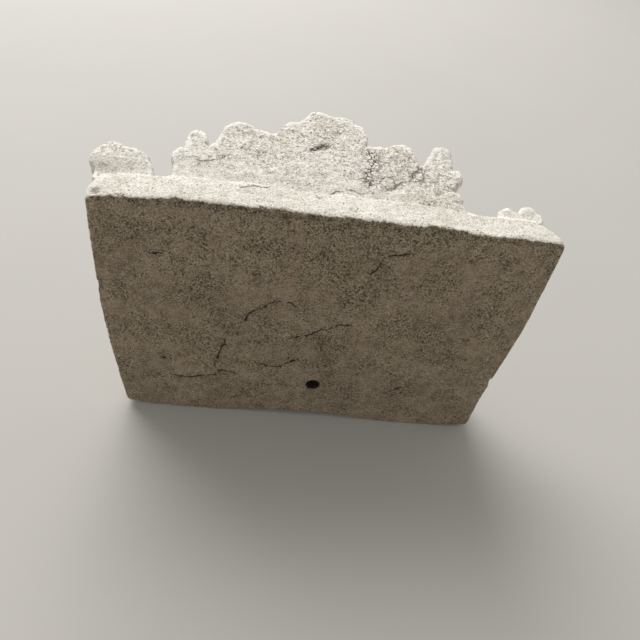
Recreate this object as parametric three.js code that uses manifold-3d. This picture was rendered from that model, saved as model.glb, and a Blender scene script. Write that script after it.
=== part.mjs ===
// Lion head fountain mask: a plaque cast in stone, with a lion's head in high relief between four
// corner palmettes, and a bore for the water pipe from the flat back to the open mouth.
//
// Millimetres. X is to the right as seen from the front, Y points into the wall and Z up.
// The origin is the middle of the flat back. "Depth" is the distance in front of the back, so it is -Y.
// The whole mask is one casting, so it is one mesh.
import * as THREE from "three";
import { mergeVertices } from "three/addons/utils/BufferGeometryUtils.js";
import Module from "manifold-3d";

const wasm = await Module();
wasm.setup();

// Driving dimensions
const SLAB = { width: 457, height: 305, thickness: 45, arris: 6, corner: 9 };
// How far each side of the hand-made slab swells, and how far it wavers
const BOW = { right: 9.5, top: 4, left: 4, bottom: 4 };
const WAVE = { right: -0.6, top: 1.2, left: -1, bottom: 3.6 };
const RELIEF_SIDES = { left: -239, right: 246 }; // the relief's corners overhang the slab a little
const RELIEF_AXIS = 13; // the relief was set off centre on its slab
const FACE_AXIS = 5; // middle of the face
const BORE = { x: -7, z: -94, radius: 8.5, length: 180, sides: 20 };
const TOP_RISE = Math.tan(THREE.MathUtils.degToRad(13)); // how steeply the relief's top side climbs forwards
const RELIEF_DEPTH = 216; // from the back to the tip of the nose
const CAST_STONE = { color: 0xcfc8b5, roughness: 0.92, metalness: 0 };

const top = SLAB.height / 2;
const bottom = -SLAB.height / 2;
const { degToRad, lerp, clamp } = THREE.MathUtils;

// A point given as x, depth in front of the back, and height.
const point = (x, depth, z) => new THREE.Vector3(x, -depth, z);

// The height of the relief's top side, flush with the slab and then climbing forwards.
const topAt = (depth) => top + TOP_RISE * Math.max(depth - SLAB.thickness, 0);

// A value read off a few stops, given as [place, value], with straight lines between them.
function readOff(stops, place) {
  const next = stops.findIndex(([stop]) => stop >= place);
  if (next === 0) return stops[0][1];
  if (next < 0) return stops[stops.length - 1][1];
  const [[a, from], [b, to]] = stops.slice(next - 1, next + 1);
  return lerp(from, to, (place - a) / (b - a));
}

function solidOf(geometry) {
  const bare = geometry.index ? geometry.toNonIndexed() : geometry.clone();
  bare.deleteAttribute("normal");
  bare.deleteAttribute("uv");
  const merged = mergeVertices(bare, 1e-3);
  return new wasm.Manifold(
    new wasm.Mesh({
      numProp: 3,
      vertProperties: merged.attributes.position.array,
      triVerts: new Uint32Array(merged.index.array),
    }),
  );
}

function geometryOf(solid) {
  const mesh = solid.getMesh();
  const geometry = new THREE.BufferGeometry();
  geometry.setAttribute("position", new THREE.BufferAttribute(mesh.vertProperties, 3));
  geometry.setIndex(new THREE.BufferAttribute(mesh.triVerts, 1));
  geometry.computeVertexNormals();
  return geometry;
}

// The head and its hair are one distance field. Each step adds a rounded mass or a lock of hair to it and
// blends it in over a few millimetres. Distances are negative inside.
const FAR = 60;
const MARGIN = 6; // how far round a shape its distance counts

function smoothMin(a, b, blend) {
  const mix = Math.max(blend - Math.abs(a - b), 0) / blend;
  return Math.min(a, b) - (mix ** 3 * blend) / 6;
}

class Form {
  steps = [];

  add(shape, blend) {
    this.steps.push({ ...shape, blend });
  }

  distance(place) {
    let value = FAR;
    for (const { box, distance, blend } of this.steps) {
      if (box.distanceToPoint(place) > blend + MARGIN) continue;
      value = smoothMin(value, distance(place), blend);
    }
    return value;
  }

  // The outermost point of the form on the way from a point inside it, seen from outside.
  edge(inside, way, farthest) {
    const stride = 2.5;
    const isOutside = (distance) => this.distance(inside.clone().addScaledVector(way, distance)) > 0;
    let near = farthest;
    while (near > stride && isOutside(near)) near -= stride;
    let far = near + stride;
    for (let halving = 0; halving < 6; halving++) {
      const middle = (near + far) / 2;
      if (isOutside(middle)) far = middle;
      else near = middle;
    }
    return near;
  }
}

// Turns in degrees. Roll is in the plane of the back, turn is round the vertical and lean is forwards.
function turned({ roll = 0, turn = 0, lean = 0 }) {
  const turns = new THREE.Euler(degToRad(-lean), degToRad(-roll), degToRad(-turn), "ZYX");
  return new THREE.Quaternion().setFromEuler(turns);
}

// An ellipsoid: its middle, its half sizes across, in depth and in height, and its turns.
function mass(at, half, turns = {}) {
  const middle = point(...at);
  const size = new THREE.Vector3(...half);
  const back = turned(turns).invert();
  const isTurned = Object.keys(turns).length > 0;
  const spread = isTurned ? new THREE.Vector3().setScalar(Math.max(...half)) : size;
  return {
    box: new THREE.Box3(middle.clone().sub(spread), middle.clone().add(spread)),
    distance(place) {
      const near = place.clone().sub(middle).applyQuaternion(back).divide(size);
      const length = near.length();
      return (length * (length - 1)) / Math.max(near.divide(size).length(), 1e-4);
    },
  };
}

// A lock of hair: a flattened tube along a curve, which swells from its root and thins to its tip.
const LOCK_PIECES = 9;

function lock(along, out, width, thickness, { root, tip }) {
  const spine = new THREE.CatmullRomCurve3(along).getPoints(LOCK_PIECES);
  const stops = [
    [0, root],
    [0.3, 1],
    [0.62, 0.9],
    [0.86, 0.62],
    [1, tip],
  ];
  const box = new THREE.Box3().setFromPoints(spine).expandByScalar(Math.max(width, thickness) / 2);
  const links = spine.slice(1).map((end, i) => {
    const tangent = end.clone().sub(spine[i]);
    const length = tangent.length();
    tangent.divideScalar(length);
    const normal = out.clone().addScaledVector(tangent, -out.dot(tangent)).normalize();
    return { start: spine[i], tangent, length, normal, side: normal.clone().cross(tangent) };
  });
  return {
    box,
    distance(place) {
      let best = Infinity;
      links.forEach(({ start, tangent, length, normal, side }, i) => {
        const from = place.clone().sub(start);
        const onward = from.dot(tangent);
        const share = clamp(onward / length, 0, 1);
        const scale = readOff(stops, (i + share) / LOCK_PIECES) / 2;
        const across = from.dot(side) / (width * scale);
        const high = from.dot(normal) / (thickness * scale);
        const past = (onward - share * length) / (thickness * scale);
        const near = Math.hypot(across, high, past);
        best = Math.min(best, (near - 1) * Math.min(width, thickness) * scale);
      });
      return best;
    },
  };
}

// Head and hair behind the locks
function addCore(form) {
  form.add(mass([RELIEF_AXIS, 40, 0], [150, 76, 150]), 2);
  form.add(mass([FACE_AXIS + 3, 60, 20], [112, 74, 135]), 20);
}

// The mane is laid on a hood, from the edge of the face (reach 0) out and back to the slab (reach 1).
// Angles turn clockwise from the top of the head, as seen from the front.
const FACE_EDGE = { across: 80, above: 96, below: 112, depth: 120, chinBack: 26 };
const HOOD_RIM = { across: 164, above: 188, below: 150, depth: 50 };

function hood(angle, reach) {
  const across = Math.sin(angle);
  const up = Math.cos(angle);
  const edgeTall = up > 0 ? FACE_EDGE.above : FACE_EDGE.below;
  const rimTall = up > 0 ? HOOD_RIM.above : HOOD_RIM.below;
  const edgeDepth = FACE_EDGE.depth - FACE_EDGE.chinBack * Math.max(-up, 0);
  const outwards = Math.sin((reach * Math.PI) / 2);
  const forwards = Math.cos((reach * Math.PI) / 2);
  return point(
    lerp(FACE_AXIS + FACE_EDGE.across * across, RELIEF_AXIS + HOOD_RIM.across * across, outwards),
    lerp(HOOD_RIM.depth, edgeDepth, forwards),
    lerp(edgeTall, rimTall, outwards) * up,
  );
}

function hoodNormal(angle, reach) {
  const step = 0.01;
  const outwards = hood(angle, reach + step).sub(hood(angle, reach - step));
  const round = hood(angle + step, reach).sub(hood(angle - step, reach));
  const normal = outwards.cross(round).normalize();
  return normal.y > 0 ? normal.negate() : normal;
}

// Three rows of locks from ear to ear below the chin, each row over the roots of the next one out.
const ROWS = [
  { count: 12, start: 0.4, end: 1.0, width: 52, thickness: 56, lift: 8, drop: 0.1, hook: 0.18, odd: 0.9, blend: 2 },
  { count: 11, start: 0.16, end: 0.74, width: 50, thickness: 54, lift: 15, drop: 0.16, hook: 0.2, odd: 2.1, blend: 2 },
  { count: 11, start: 0.04, end: 0.46, width: 40, thickness: 40, lift: 15, drop: 0.18, hook: 0.22, odd: 4.4, blend: 5 },
];
const MANE_FROM = degToRad(38);
const MANE_TO = degToRad(322);
const LOCK_POINTS = 7;

// A steady unevenness from -1 to 1, as of locks modelled by hand.
const unevenness = (number, odd) => Math.sin(12.9898 * number + 4.1 * odd);

function addManeLock(form, row, number) {
  const share = (number + 0.5) / row.count;
  const angle = lerp(MANE_FROM, MANE_TO, share);
  const side = angle < Math.PI ? 1 : -1;
  const fall = Math.abs(Math.sin(angle));
  const end = row.end + 0.05 * unevenness(number, row.odd);
  const phase = 0.4 * unevenness(number, row.odd + 1);
  const along = Array.from({ length: LOCK_POINTS }, (_, i) => {
    const run = i / (LOCK_POINTS - 1);
    const reach = Math.min(lerp(row.start, end, run), 1.02);
    const hook = row.hook * (Math.sin(1.55 * Math.PI * run + phase) - 0.6 * run);
    const lift = row.lift * (Math.sin(Math.PI * Math.min(0.62 * run, 0.5)) - 0.25) - 30 * Math.max(run - 0.8, 0);
    const spot = hood(angle + side * (row.drop * fall * run - hook), reach);
    return spot.addScaledVector(hoodNormal(angle, Math.min(reach, 0.98)), lift);
  });
  const width = row.width * (1 + 0.12 * unevenness(number, row.odd + 2));
  const out = hoodNormal(angle, (row.start + row.end) / 2);
  form.add(lock(along, out, width, row.thickness, { root: 0.4, tip: 0.05 }), row.blend);
}

// The crown: locks that rise from the brow and end in the top side, so that side has their lobed outline.
const CROWN = [
  { x: 163, depth: 90, width: 18 },
  { x: 148, depth: 123, width: 25 },
  { x: 113, depth: 130, width: 20 },
  { x: 101, depth: 145, width: 32 },
  { x: 79, depth: 126, width: 28 },
  { x: 55, depth: 152, width: 33 },
  { x: 23, depth: 184, width: 32 },
  { x: -11, depth: 180, width: 28 },
  { x: -27, depth: 162, width: 20 },
  { x: -50, depth: 124, width: 30 },
  { x: -72, depth: 139, width: 36 },
  { x: -121, depth: 149, width: 25 },
  { x: -133, depth: 108, width: 18 },
  { x: -131, depth: 62, width: 14 },
];
const CROWN_HALF_WIDTH = 150;

function addCrownLock(form, { x, depth, width }, number) {
  const thickness = width * 1.3;
  const spread = (x - RELIEF_AXIS) / CROWN_HALF_WIDTH;
  const root = point(FACE_AXIS + 62 * spread, 140 - 34 * spread ** 2, 98 - 26 * spread ** 2);
  const end = point(x, depth - thickness / 2, topAt(depth));
  const way = end.clone().sub(root);
  const swing = new THREE.Vector3(1, 0, -way.x / way.z).multiplyScalar(number % 2 ? 7 : -7);
  const low = root.clone().addScaledVector(way, 0.33).add(point(0, 7, 0)).add(swing);
  const high = root.clone().addScaledVector(way, 0.72).add(point(0, 5, 0)).addScaledVector(swing, -0.6);
  const beyond = end.clone().addScaledVector(end.clone().sub(high), 0.8);
  form.add(lock([root, low, high, end, beyond], point(0, 1, 0.2), width * 1.12, thickness, { root: 0.4, tip: 0.95 }), 2);
}

// The top of the head behind the crown, as its depth at a few places across.
const CROWN_CORE = [
  [-126, 62],
  [-116, 84],
  [-92, 84],
  [-40, 110],
  [-15, 142],
  [32, 142],
  [60, 118],
  [108, 108],
  [122, 64],
  [138, 64],
  [160, 62],
];
const CROWN_CORE_FROM = 100;

function crownCore() {
  const [[left], [right]] = [CROWN_CORE[0], CROWN_CORE[CROWN_CORE.length - 1]];
  return {
    box: new THREE.Box3(point(left, 150, CROWN_CORE_FROM), point(right, 0, topAt(RELIEF_DEPTH))),
    distance({ x, y, z }) {
      const front = readOff(CROWN_CORE, x) - 0.25 * Math.max(top - z, 0);
      return Math.max(x - right, left - x, 0.8 * (-y - front), CROWN_CORE_FROM - z);
    },
  };
}

// The soft forms of the face. Places across are counted from the middle of the face.
function addFace(form) {
  const both = ([x, depth, z], half, blend, { turn, roll }) => {
    for (const side of [1, -1]) {
      form.add(mass([FACE_AXIS + side * x, depth, z], half, { turn: side * turn, roll: side * roll }), blend);
    }
  };
  const one = ([x, depth, z], half, blend, turns) => form.add(mass([FACE_AXIS + x, depth, z], half, turns), blend);
  // Skull, forehead, bridge of the nose
  one([0, 80, 10], [80, 76, 104], 10);
  one([0, 104, 92], [62, 44, 46], 16);
  one([0, 140, 62], [26, 26, 40], 20, { lean: -6 });
  one([0, 158, 14], [20, 34, 46], 14, { lean: -22 });
  // Muzzle, cheeks, throat
  one([0, 134, -44], [52, 54, 34], 16);
  both([54, 106, -6], [38, 42, 30], 18, { turn: -10, roll: -20 });
  one([0, 112, -88], [50, 46, 46], 16);
}

// The features of the face that stand clear of it
const SOFT = [14, 9]; // segments round and along a large ellipsoid
const SMALL = [10, 7];

function ellipsoid([x, depth, z], half, turns, [around, along]) {
  const geometry = new THREE.SphereGeometry(1, around, along);
  geometry.scale(...half);
  geometry.applyQuaternion(turned(turns));
  geometry.translate(...point(FACE_AXIS + x, depth, z));
  return solidOf(geometry);
}

const pair = (make) => [make(1), make(-1)];

function features() {
  return [
    // Ears, brows, flews
    ...pair((side) => ellipsoid([side * 79, 124, 104], [27, 25, 35], { roll: side * -32 }, SMALL)),
    ...pair((side) => ellipsoid([side * 34, 142, 57], [35, 22, 13], { turn: side * -22, roll: side * 14 }, SOFT)),
    ...pair((side) => ellipsoid([side * 25, 166, -50], [33, 39, 24], { turn: side * -12, roll: side * -16 }, SOFT)),
    // Nose, jaw, chin
    ellipsoid([0, 191, -17], [25, 22, 14], { lean: 10 }, SMALL),
    ellipsoid([0, 196, -29], [13, 16, 12], {}, SMALL),
    ellipsoid([0, 118, -118], [46, 52, 24], {}, SOFT),
    ellipsoid([0, 146, -129], [31, 30, 15], {}, SMALL),
  ];
}

function hollows() {
  return [
    // Ears, mouth, nostrils
    ...pair((side) => ellipsoid([side * 80, 149, 102], [14, 16, 21], { roll: side * -32 }, SMALL)),
    ellipsoid([0, 186, -93], [38, 58, 17], {}, SOFT),
    ...pair((side) => ellipsoid([side * 15, 211, -21], [7, 9, 5], { roll: side * 24 }, [8, 6])),
  ];
}

const LID = { radius: 18, thickness: 4.2, around: 14, section: 5, flatness: 0.62 };

function eyes() {
  return pair((side) => {
    const turns = { turn: side * -20, roll: side * 14 };
    const lids = new THREE.TorusGeometry(LID.radius, LID.thickness, LID.section, LID.around);
    lids.scale(1, LID.flatness, 1);
    lids.rotateX(Math.PI / 2);
    lids.applyQuaternion(turned(turns));
    lids.translate(...point(FACE_AXIS + side * 37, 146, 36));
    const ball = ellipsoid([side * 37, 138, 36], [17, 13, 10.5], turns, SMALL);
    return ball.add(solidOf(lids));
  });
}

// A corner palmette: five leaflets fanned out of one stem, from upright round to level. Each is a long
// rounded leaf that stands on the slab. The sink is how much lower than the tallest a leaflet stands.
const LEAFLETS = [
  { aim: 104, sink: 0.7 },
  { aim: 83, sink: 0.12 },
  { aim: 46, sink: 0 },
  { aim: 18, sink: 0.06 },
  { aim: -8, sink: 0.2 },
];
const LEAFLET = { halfWidth: 14, middle: 0.56, halfLength: 0.62, around: 9, along: 6 };
const FAN_SQUARENESS = 0.5; // the fan's outline, from 1 for an ellipse towards 0 for a square
const PALMETTES = [
  { x: 199, z: 92, side: 1, up: 1, across: 37, tall: 84, depth: 99 },
  { x: -187, z: 92, side: -1, up: 1, across: 33, tall: 66, depth: 69 },
  { x: 188, z: -92, side: 1, up: -1, across: 42, tall: 54, depth: 76 },
  { x: -184, z: -92, side: -1, up: -1, across: 40, tall: 54, depth: 66 },
];

function palmette({ x, z, side, up, across, tall, depth }) {
  const squared = (value) => Math.sign(value) * Math.abs(value) ** FAN_SQUARENESS;
  const stem = point(x, SLAB.thickness, z);
  const height = depth - SLAB.thickness;
  const leaflets = LEAFLETS.map(({ aim, sink }) => {
    const turn = degToRad(aim);
    const way = point(side * across * squared(Math.cos(turn)), 0, up * tall * squared(Math.sin(turn)));
    const geometry = new THREE.SphereGeometry(1, LEAFLET.around, LEAFLET.along);
    geometry.scale(LEAFLET.halfWidth, height * (1 - sink), LEAFLET.halfLength * way.length());
    geometry.rotateY(Math.atan2(way.x, way.z));
    geometry.translate(...way.multiplyScalar(LEAFLET.middle).add(stem));
    return solidOf(geometry);
  });
  return leaflets.reduce((whole, leaflet) => whole.add(leaflet));
}

// A net drawn over a form, seen from a point behind it. The net starts as a dome over the slab, with its
// pole in front and an even spread of rings down to its rim. Each knot then moves out or in to the form.
// The point behind closes the net.
const NET_SLACK = 115; // the form is at most this far in front of the dome
const KNOT_SPREAD = 1.4; // a knot takes the mean of the form this far round it
const SETTLE = { rings: 12, times: 3, pull: 0.5 }; // the inner rings are then evened out

function net(form, { heart, crest, rim, rings, sides, crowding }) {
  const geometry = new THREE.SphereGeometry(1, sides, rings);
  const position = geometry.attributes.position;
  const ways = [];
  const reaches = [];
  for (let ring = 0; ring < rings; ring++) {
    const down = (ring / (rings - 1)) * (Math.PI / 2);
    for (let side = 0; side < sides; side++) {
      const round = (-2 * Math.PI * side) / sides;
      const edge = rim(round - crowding * Math.sin(round));
      const knot = new THREE.Vector3().lerpVectors(crest, edge, Math.sin(down));
      knot.y = lerp(edge.y, crest.y, Math.cos(down));
      const found = [1, -1].flatMap((across) =>
        [1, -1].map((up) => {
          const beside = knot.clone().add(point(across * KNOT_SPREAD, 0, up * KNOT_SPREAD)).sub(heart);
          const farthest = beside.length() + NET_SLACK;
          return form.edge(heart, beside.normalize(), farthest);
        }),
      );
      ways.push(knot.sub(heart).normalize());
      reaches.push(found.reduce((sum, value) => sum + value) / found.length);
    }
  }
  for (let time = 0; time < SETTLE.times; time++) settle(reaches, sides);
  for (let i = 0; i < position.count; i++) {
    const knot = Math.floor(i / (sides + 1)) * sides + (i % (sides + 1)) % sides;
    const reach = knot < ways.length ? reaches[knot] : 0;
    const way = ways[knot % ways.length];
    position.setXYZ(i, ...way.clone().multiplyScalar(reach).add(heart));
  }
  splitQuadsShortWay(geometry);
  return solidOf(geometry);
}

function settle(reaches, sides) {
  const before = [...reaches];
  for (let i = sides; i < SETTLE.rings * sides; i++) {
    const row = i - (i % sides);
    const beside = [row + ((i + 1) % sides), row + ((i + sides - 1) % sides), i - sides, i + sides];
    const mean = beside.reduce((sum, j) => sum + before[j], 0) / beside.length;
    reaches[i] = lerp(before[i], mean, SETTLE.pull);
  }
}

// Splits each four-sided mesh of a net along its shorter diagonal, so that ridges run clean.
function splitQuadsShortWay(geometry) {
  const index = geometry.index.array;
  const at = (i) => new THREE.Vector3().fromBufferAttribute(geometry.attributes.position, i);
  for (let i = 0; i + 5 < index.length; i += 3) {
    // Two triangles of one quad are stored as a, b, d and b, c, d.
    const [a, b, d, b2, c, d2] = index.slice(i, i + 6);
    if (b !== b2 || d !== d2) continue;
    if (at(a).distanceTo(at(c)) < at(b).distanceTo(at(d))) index.set([a, b, c, a, c, d], i);
    i += 3;
  }
}

// The head's net is squarer above, to take in the ends of the crown.
const HEAD_NET = { rings: 25, sides: 100, crowding: 0.33 };
const HEAD_HEART = point(FACE_AXIS, -140, 0);
const HEAD_CREST = point(FACE_AXIS, 150, -30);
const HEAD_RIM = { across: 168, above: 148, below: 148, squareness: 0.7, depth: 20 };

function headRim(angle) {
  const across = Math.sin(angle);
  const up = Math.cos(angle);
  const power = up > 0 ? HEAD_RIM.squareness : 1;
  const tall = up > 0 ? HEAD_RIM.above : HEAD_RIM.below;
  return point(
    RELIEF_AXIS + HEAD_RIM.across * Math.sign(across) * Math.abs(across) ** power,
    HEAD_RIM.depth,
    tall * Math.sign(up) * Math.abs(up) ** power,
  );
}

function head() {
  const form = new Form();
  addCore(form);
  ROWS.forEach((row) => Array.from({ length: row.count }, (_, number) => addManeLock(form, row, number)));
  CROWN.forEach((place, number) => addCrownLock(form, place, number));
  form.add(crownCore(), 6);
  addFace(form);
  return net(form, { ...HEAD_NET, heart: HEAD_HEART, crest: HEAD_CREST, rim: headRim });
}

// The fangs at the corners of the mouth, two from above and two from below.
const FANGS = [
  { x: 24, depth: 178, from: -66, to: -90 },
  { x: 20, depth: 162, from: -124, to: -103 },
];
const FANG_RADIUS = 6.5;

function fangs() {
  return [1, -1].flatMap((side) =>
    FANGS.map(({ x, depth, from, to }) => {
      const geometry = new THREE.ConeGeometry(FANG_RADIUS, Math.abs(to - from), 8);
      geometry.rotateX(to < from ? -Math.PI / 2 : Math.PI / 2);
      geometry.translate(...point(FACE_AXIS + side * x, depth, (from + to) / 2));
      return solidOf(geometry);
    }),
  );
}

// The slab: a rectangle whose sides swell and waver a little, with rounded corners and arrises.
function slab() {
  const steps = 9;
  const { width, height, thickness, arris, corner } = SLAB;
  const sides = [
    { from: [1, -1], to: [1, 1], bow: BOW.right, wave: WAVE.right },
    { from: [1, 1], to: [-1, 1], bow: BOW.top, wave: WAVE.top },
    { from: [-1, 1], to: [-1, -1], bow: BOW.left, wave: WAVE.left },
    { from: [-1, -1], to: [1, -1], bow: BOW.bottom, wave: WAVE.bottom },
  ];
  const outline = sides.flatMap(({ from, to, bow, wave }) => {
    const start = new THREE.Vector2((from[0] * width) / 2, (from[1] * height) / 2);
    const end = new THREE.Vector2((to[0] * width) / 2, (to[1] * height) / 2);
    const onward = end.clone().sub(start).normalize();
    const outward = onward.clone().rotateAround(new THREE.Vector2(), -Math.PI / 2);
    const inset = corner / start.distanceTo(end);
    const points = Array.from({ length: steps }, (_, i) => {
      const run = lerp(inset, 1 - inset, i / (steps - 1));
      const swell = bow * 4 * run * (1 - run) + wave * Math.sin(3 * Math.PI * run);
      return start.clone().lerp(end, run).addScaledVector(outward, swell);
    });
    const cornerPoint = end.clone().addScaledVector(outward, -0.29 * corner).addScaledVector(onward, -0.29 * corner);
    return [...points, cornerPoint];
  });
  const geometry = new THREE.ExtrudeGeometry(new THREE.Shape(outline), {
    depth: thickness - 2 * arris,
    bevelThickness: arris,
    bevelSize: arris,
    bevelOffset: -arris / 2,
    bevelSegments: 2,
  });
  geometry.translate(0, 0, arris);
  geometry.rotateX(Math.PI / 2);
  return solidOf(geometry);
}

// A bore along Y, from behind the back to the inside of the mouth.
function bore() {
  const geometry = new THREE.CylinderGeometry(BORE.radius, BORE.radius, BORE.length, BORE.sides);
  geometry.translate(...point(BORE.x, BORE.length / 2 - 10, BORE.z));
  return solidOf(geometry);
}

// What the relief keeps to: from just inside the slab's front, as high as the slab and then climbing
// forwards along the top.
const RELIEF_ROOT = 12;

function trim() {
  const back = SLAB.thickness - RELIEF_ROOT;
  const front = RELIEF_DEPTH + 20;
  const profile = new THREE.Shape([
    new THREE.Vector2(back, bottom + 1),
    new THREE.Vector2(front, bottom + 1),
    new THREE.Vector2(front, topAt(front)),
    new THREE.Vector2(SLAB.thickness, top + BOW.top / 2),
    new THREE.Vector2(back, top + BOW.top / 2),
  ]);
  const { left, right } = RELIEF_SIDES;
  const geometry = new THREE.ExtrudeGeometry(profile, { depth: right - left, bevelEnabled: false });
  // The profile's x is depth and its y is height.
  geometry.rotateX(Math.PI / 2);
  geometry.rotateZ(-Math.PI / 2);
  geometry.translate(right, 0, 0);
  return solidOf(geometry);
}

function mask() {
  const join = (parts) => parts.reduce((whole, part) => whole.add(part));
  const carved = join([head(), ...features()]).subtract(join(hollows()));
  const relief = join([carved, ...eyes(), ...fangs(), ...PALMETTES.map(palmette)]);
  return slab().add(relief.intersect(trim())).subtract(bore());
}

const lionMask = new THREE.Mesh(geometryOf(mask()), new THREE.MeshStandardMaterial(CAST_STONE));
lionMask.name = "lion_mask";

const plaque = new THREE.Group();
plaque.add(lionMask);

export default plaque;
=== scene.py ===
"""Lion head fountain mask in cast stone: the carved piece, its weathered finish and its studio.

The mask is carved as a distance field in numpy, in millimetres, as x, depth in front of the back, and
height. The field is then meshed once, so the casting is one closed skin with no seams.
"""
import math
from functools import partial
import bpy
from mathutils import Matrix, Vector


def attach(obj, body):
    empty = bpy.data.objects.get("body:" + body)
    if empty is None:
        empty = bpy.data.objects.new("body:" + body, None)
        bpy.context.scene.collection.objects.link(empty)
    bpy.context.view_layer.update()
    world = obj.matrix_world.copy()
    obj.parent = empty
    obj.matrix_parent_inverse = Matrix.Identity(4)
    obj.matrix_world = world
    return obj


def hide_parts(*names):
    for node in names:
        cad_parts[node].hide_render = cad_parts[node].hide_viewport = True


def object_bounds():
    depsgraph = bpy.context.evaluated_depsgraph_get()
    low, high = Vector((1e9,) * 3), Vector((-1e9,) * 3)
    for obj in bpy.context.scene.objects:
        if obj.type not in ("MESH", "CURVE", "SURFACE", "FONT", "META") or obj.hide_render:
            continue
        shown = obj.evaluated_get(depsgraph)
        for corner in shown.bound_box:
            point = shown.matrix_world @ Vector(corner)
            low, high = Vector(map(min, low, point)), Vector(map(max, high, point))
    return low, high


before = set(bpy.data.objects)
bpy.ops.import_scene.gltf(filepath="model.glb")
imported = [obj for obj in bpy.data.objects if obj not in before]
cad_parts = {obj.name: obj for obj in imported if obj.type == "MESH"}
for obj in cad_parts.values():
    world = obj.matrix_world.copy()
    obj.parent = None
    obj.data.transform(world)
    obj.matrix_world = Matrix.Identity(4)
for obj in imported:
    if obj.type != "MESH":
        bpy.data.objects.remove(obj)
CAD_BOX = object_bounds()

from types import SimpleNamespace

import bpy
import numpy as np
from bpy.props import FloatProperty, FloatVectorProperty, IntProperty, PointerProperty
from mathutils import Matrix, Vector

bl_info = {
    "name": "Lion head fountain mask",
    "version": (1, 0, 0),
    "blender": (4, 5, 0),
    "location": "View3D > Sidebar > Mask",
    "description": "Carves and finishes a cast stone fountain mask with a lion's head",
    "category": "Add Mesh",
}

MM = 0.001
NODE = "lion_mask"
PIECE = "cast_mask"
BODY = "root"


def linear(code):
    """An sRGB hex colour as linear red, green and blue."""
    parts = [int(code[i : i + 2], 16) / 255 for i in (1, 3, 5)]
    return tuple(c / 12.92 if c <= 0.04045 else ((c + 0.055) / 1.055) ** 2.4 for c in parts)


class MaskSizes(bpy.types.PropertyGroup):
    """Sizes of the casting, and how finely it is carved."""

    width: FloatProperty(
        name="Slab width",
        description="Width of the slab before its sides swell",
        default=0.457,
        subtype="DISTANCE",
        unit="LENGTH",
    )
    height: FloatProperty(
        name="Slab height",
        description="Height of the slab before its sides swell",
        default=0.305,
        subtype="DISTANCE",
        unit="LENGTH",
    )
    thickness: FloatProperty(
        name="Slab thickness",
        description="Thickness of the slab behind the relief",
        default=0.045,
        subtype="DISTANCE",
        unit="LENGTH",
    )
    arris: FloatProperty(
        name="Arris",
        description="Radius of the back's worn arrises",
        default=0.0028,
        subtype="DISTANCE",
        unit="LENGTH",
    )
    front_arris: FloatProperty(
        name="Front arris",
        description="Radius of the front's worn arrises",
        default=0.0055,
        subtype="DISTANCE",
        unit="LENGTH",
    )
    corner: FloatProperty(
        name="Corner",
        description="Radius of the slab's corners",
        default=0.0065,
        subtype="DISTANCE",
        unit="LENGTH",
    )
    bore: FloatProperty(
        name="Bore",
        description="Diameter of the water pipe's bore",
        default=0.017,
        subtype="DISTANCE",
        unit="LENGTH",
    )
    grain: FloatProperty(
        name="Grain",
        description="Spacing of the carving grid",
        default=0.0015,
        min=0.001,
        subtype="DISTANCE",
        unit="LENGTH",
    )
    faces: IntProperty(name="Faces", description="Most triangles of the finished skin", default=196000)
    seed: IntProperty(name="Seed", description="Seed of the pits, chips and grain", default=7)


def in_millimetres(sizes):
    """The lengths of a size group in millimetres, with its plain numbers as they are."""
    lengths = ("width", "height", "thickness", "arris", "front_arris", "corner", "bore", "grain")
    plain = {"faces": sizes.faces, "seed": sizes.seed}
    return SimpleNamespace(**{name: getattr(sizes, name) / MM for name in lengths}, **plain)


class StoneFinish(bpy.types.PropertyGroup):
    """Colours and surface of the cast stone."""

    stone: FloatVectorProperty(
        name="Stone",
        description="Clean, weathered stone",
        subtype="COLOR",
        size=3,
        default=linear("#e9e5da"),
    )
    sand: FloatVectorProperty(
        name="Sand",
        description="Darker sand in the mix",
        subtype="COLOR",
        size=3,
        default=linear("#b4ab9b"),
    )
    # This tone also paints the highlight on ridges and rims
    lime_and_highlight: FloatVectorProperty(
        name="Lime",
        description="Lime washed out of the cement",
        subtype="COLOR",
        size=3,
        default=linear("#f8f5ec"),
    )
    earth: FloatVectorProperty(
        name="Earth",
        description="Earth held by the rough top side",
        subtype="COLOR",
        size=3,
        default=linear("#8f7b5f"),
    )
    # This tone also paints the shade in hollows and grooves
    grime_and_shade: FloatVectorProperty(
        name="Grime",
        description="Grime in pits and hollows",
        subtype="COLOR",
        size=3,
        default=linear("#4a3d2e"),
    )
    # Partly the back's own browner stone and partly painted shade: this tone is darkened to stand for the
    # shade the back lies in
    back: FloatVectorProperty(
        name="Back",
        description="Unweathered stone of the back",
        subtype="COLOR",
        size=3,
        default=linear("#a3947a"),
    )
    # This tone also paints the shade inside the bore and the most enclosed recesses
    deep: FloatVectorProperty(
        name="Deep grime",
        description="Grime in cracks and in the bore",
        subtype="COLOR",
        size=3,
        default=linear("#2a2119"),
    )
    stain: FloatVectorProperty(
        name="Stain",
        description="Faint rusty stain on the back",
        subtype="COLOR",
        size=3,
        default=linear("#b09a86"),
    )
    roughness: FloatProperty(
        name="Roughness",
        description="Roughness of the dry stone",
        default=0.93,
        min=0,
        max=1,
        subtype="FACTOR",
    )


class StudioLook(bpy.types.PropertyGroup):
    """Floor, lights and camera."""

    floor: FloatVectorProperty(
        name="Floor",
        description="Colour of the floor",
        subtype="COLOR",
        size=3,
        default=linear("#b7b4ae"),
    )
    key: FloatProperty(
        name="Key light",
        description="Power of the large soft light above the front",
        default=570.0,
        unit="POWER",
    )
    fill: FloatProperty(name="Fill", description="Strength of the even light all round", default=0.58, min=0)
    lens: FloatProperty(name="Lens", description="Focal length of the camera", default=28.97, unit="CAMERA")


# The carving field: each step adds a form or cuts one away, inside that form's own box.


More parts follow.
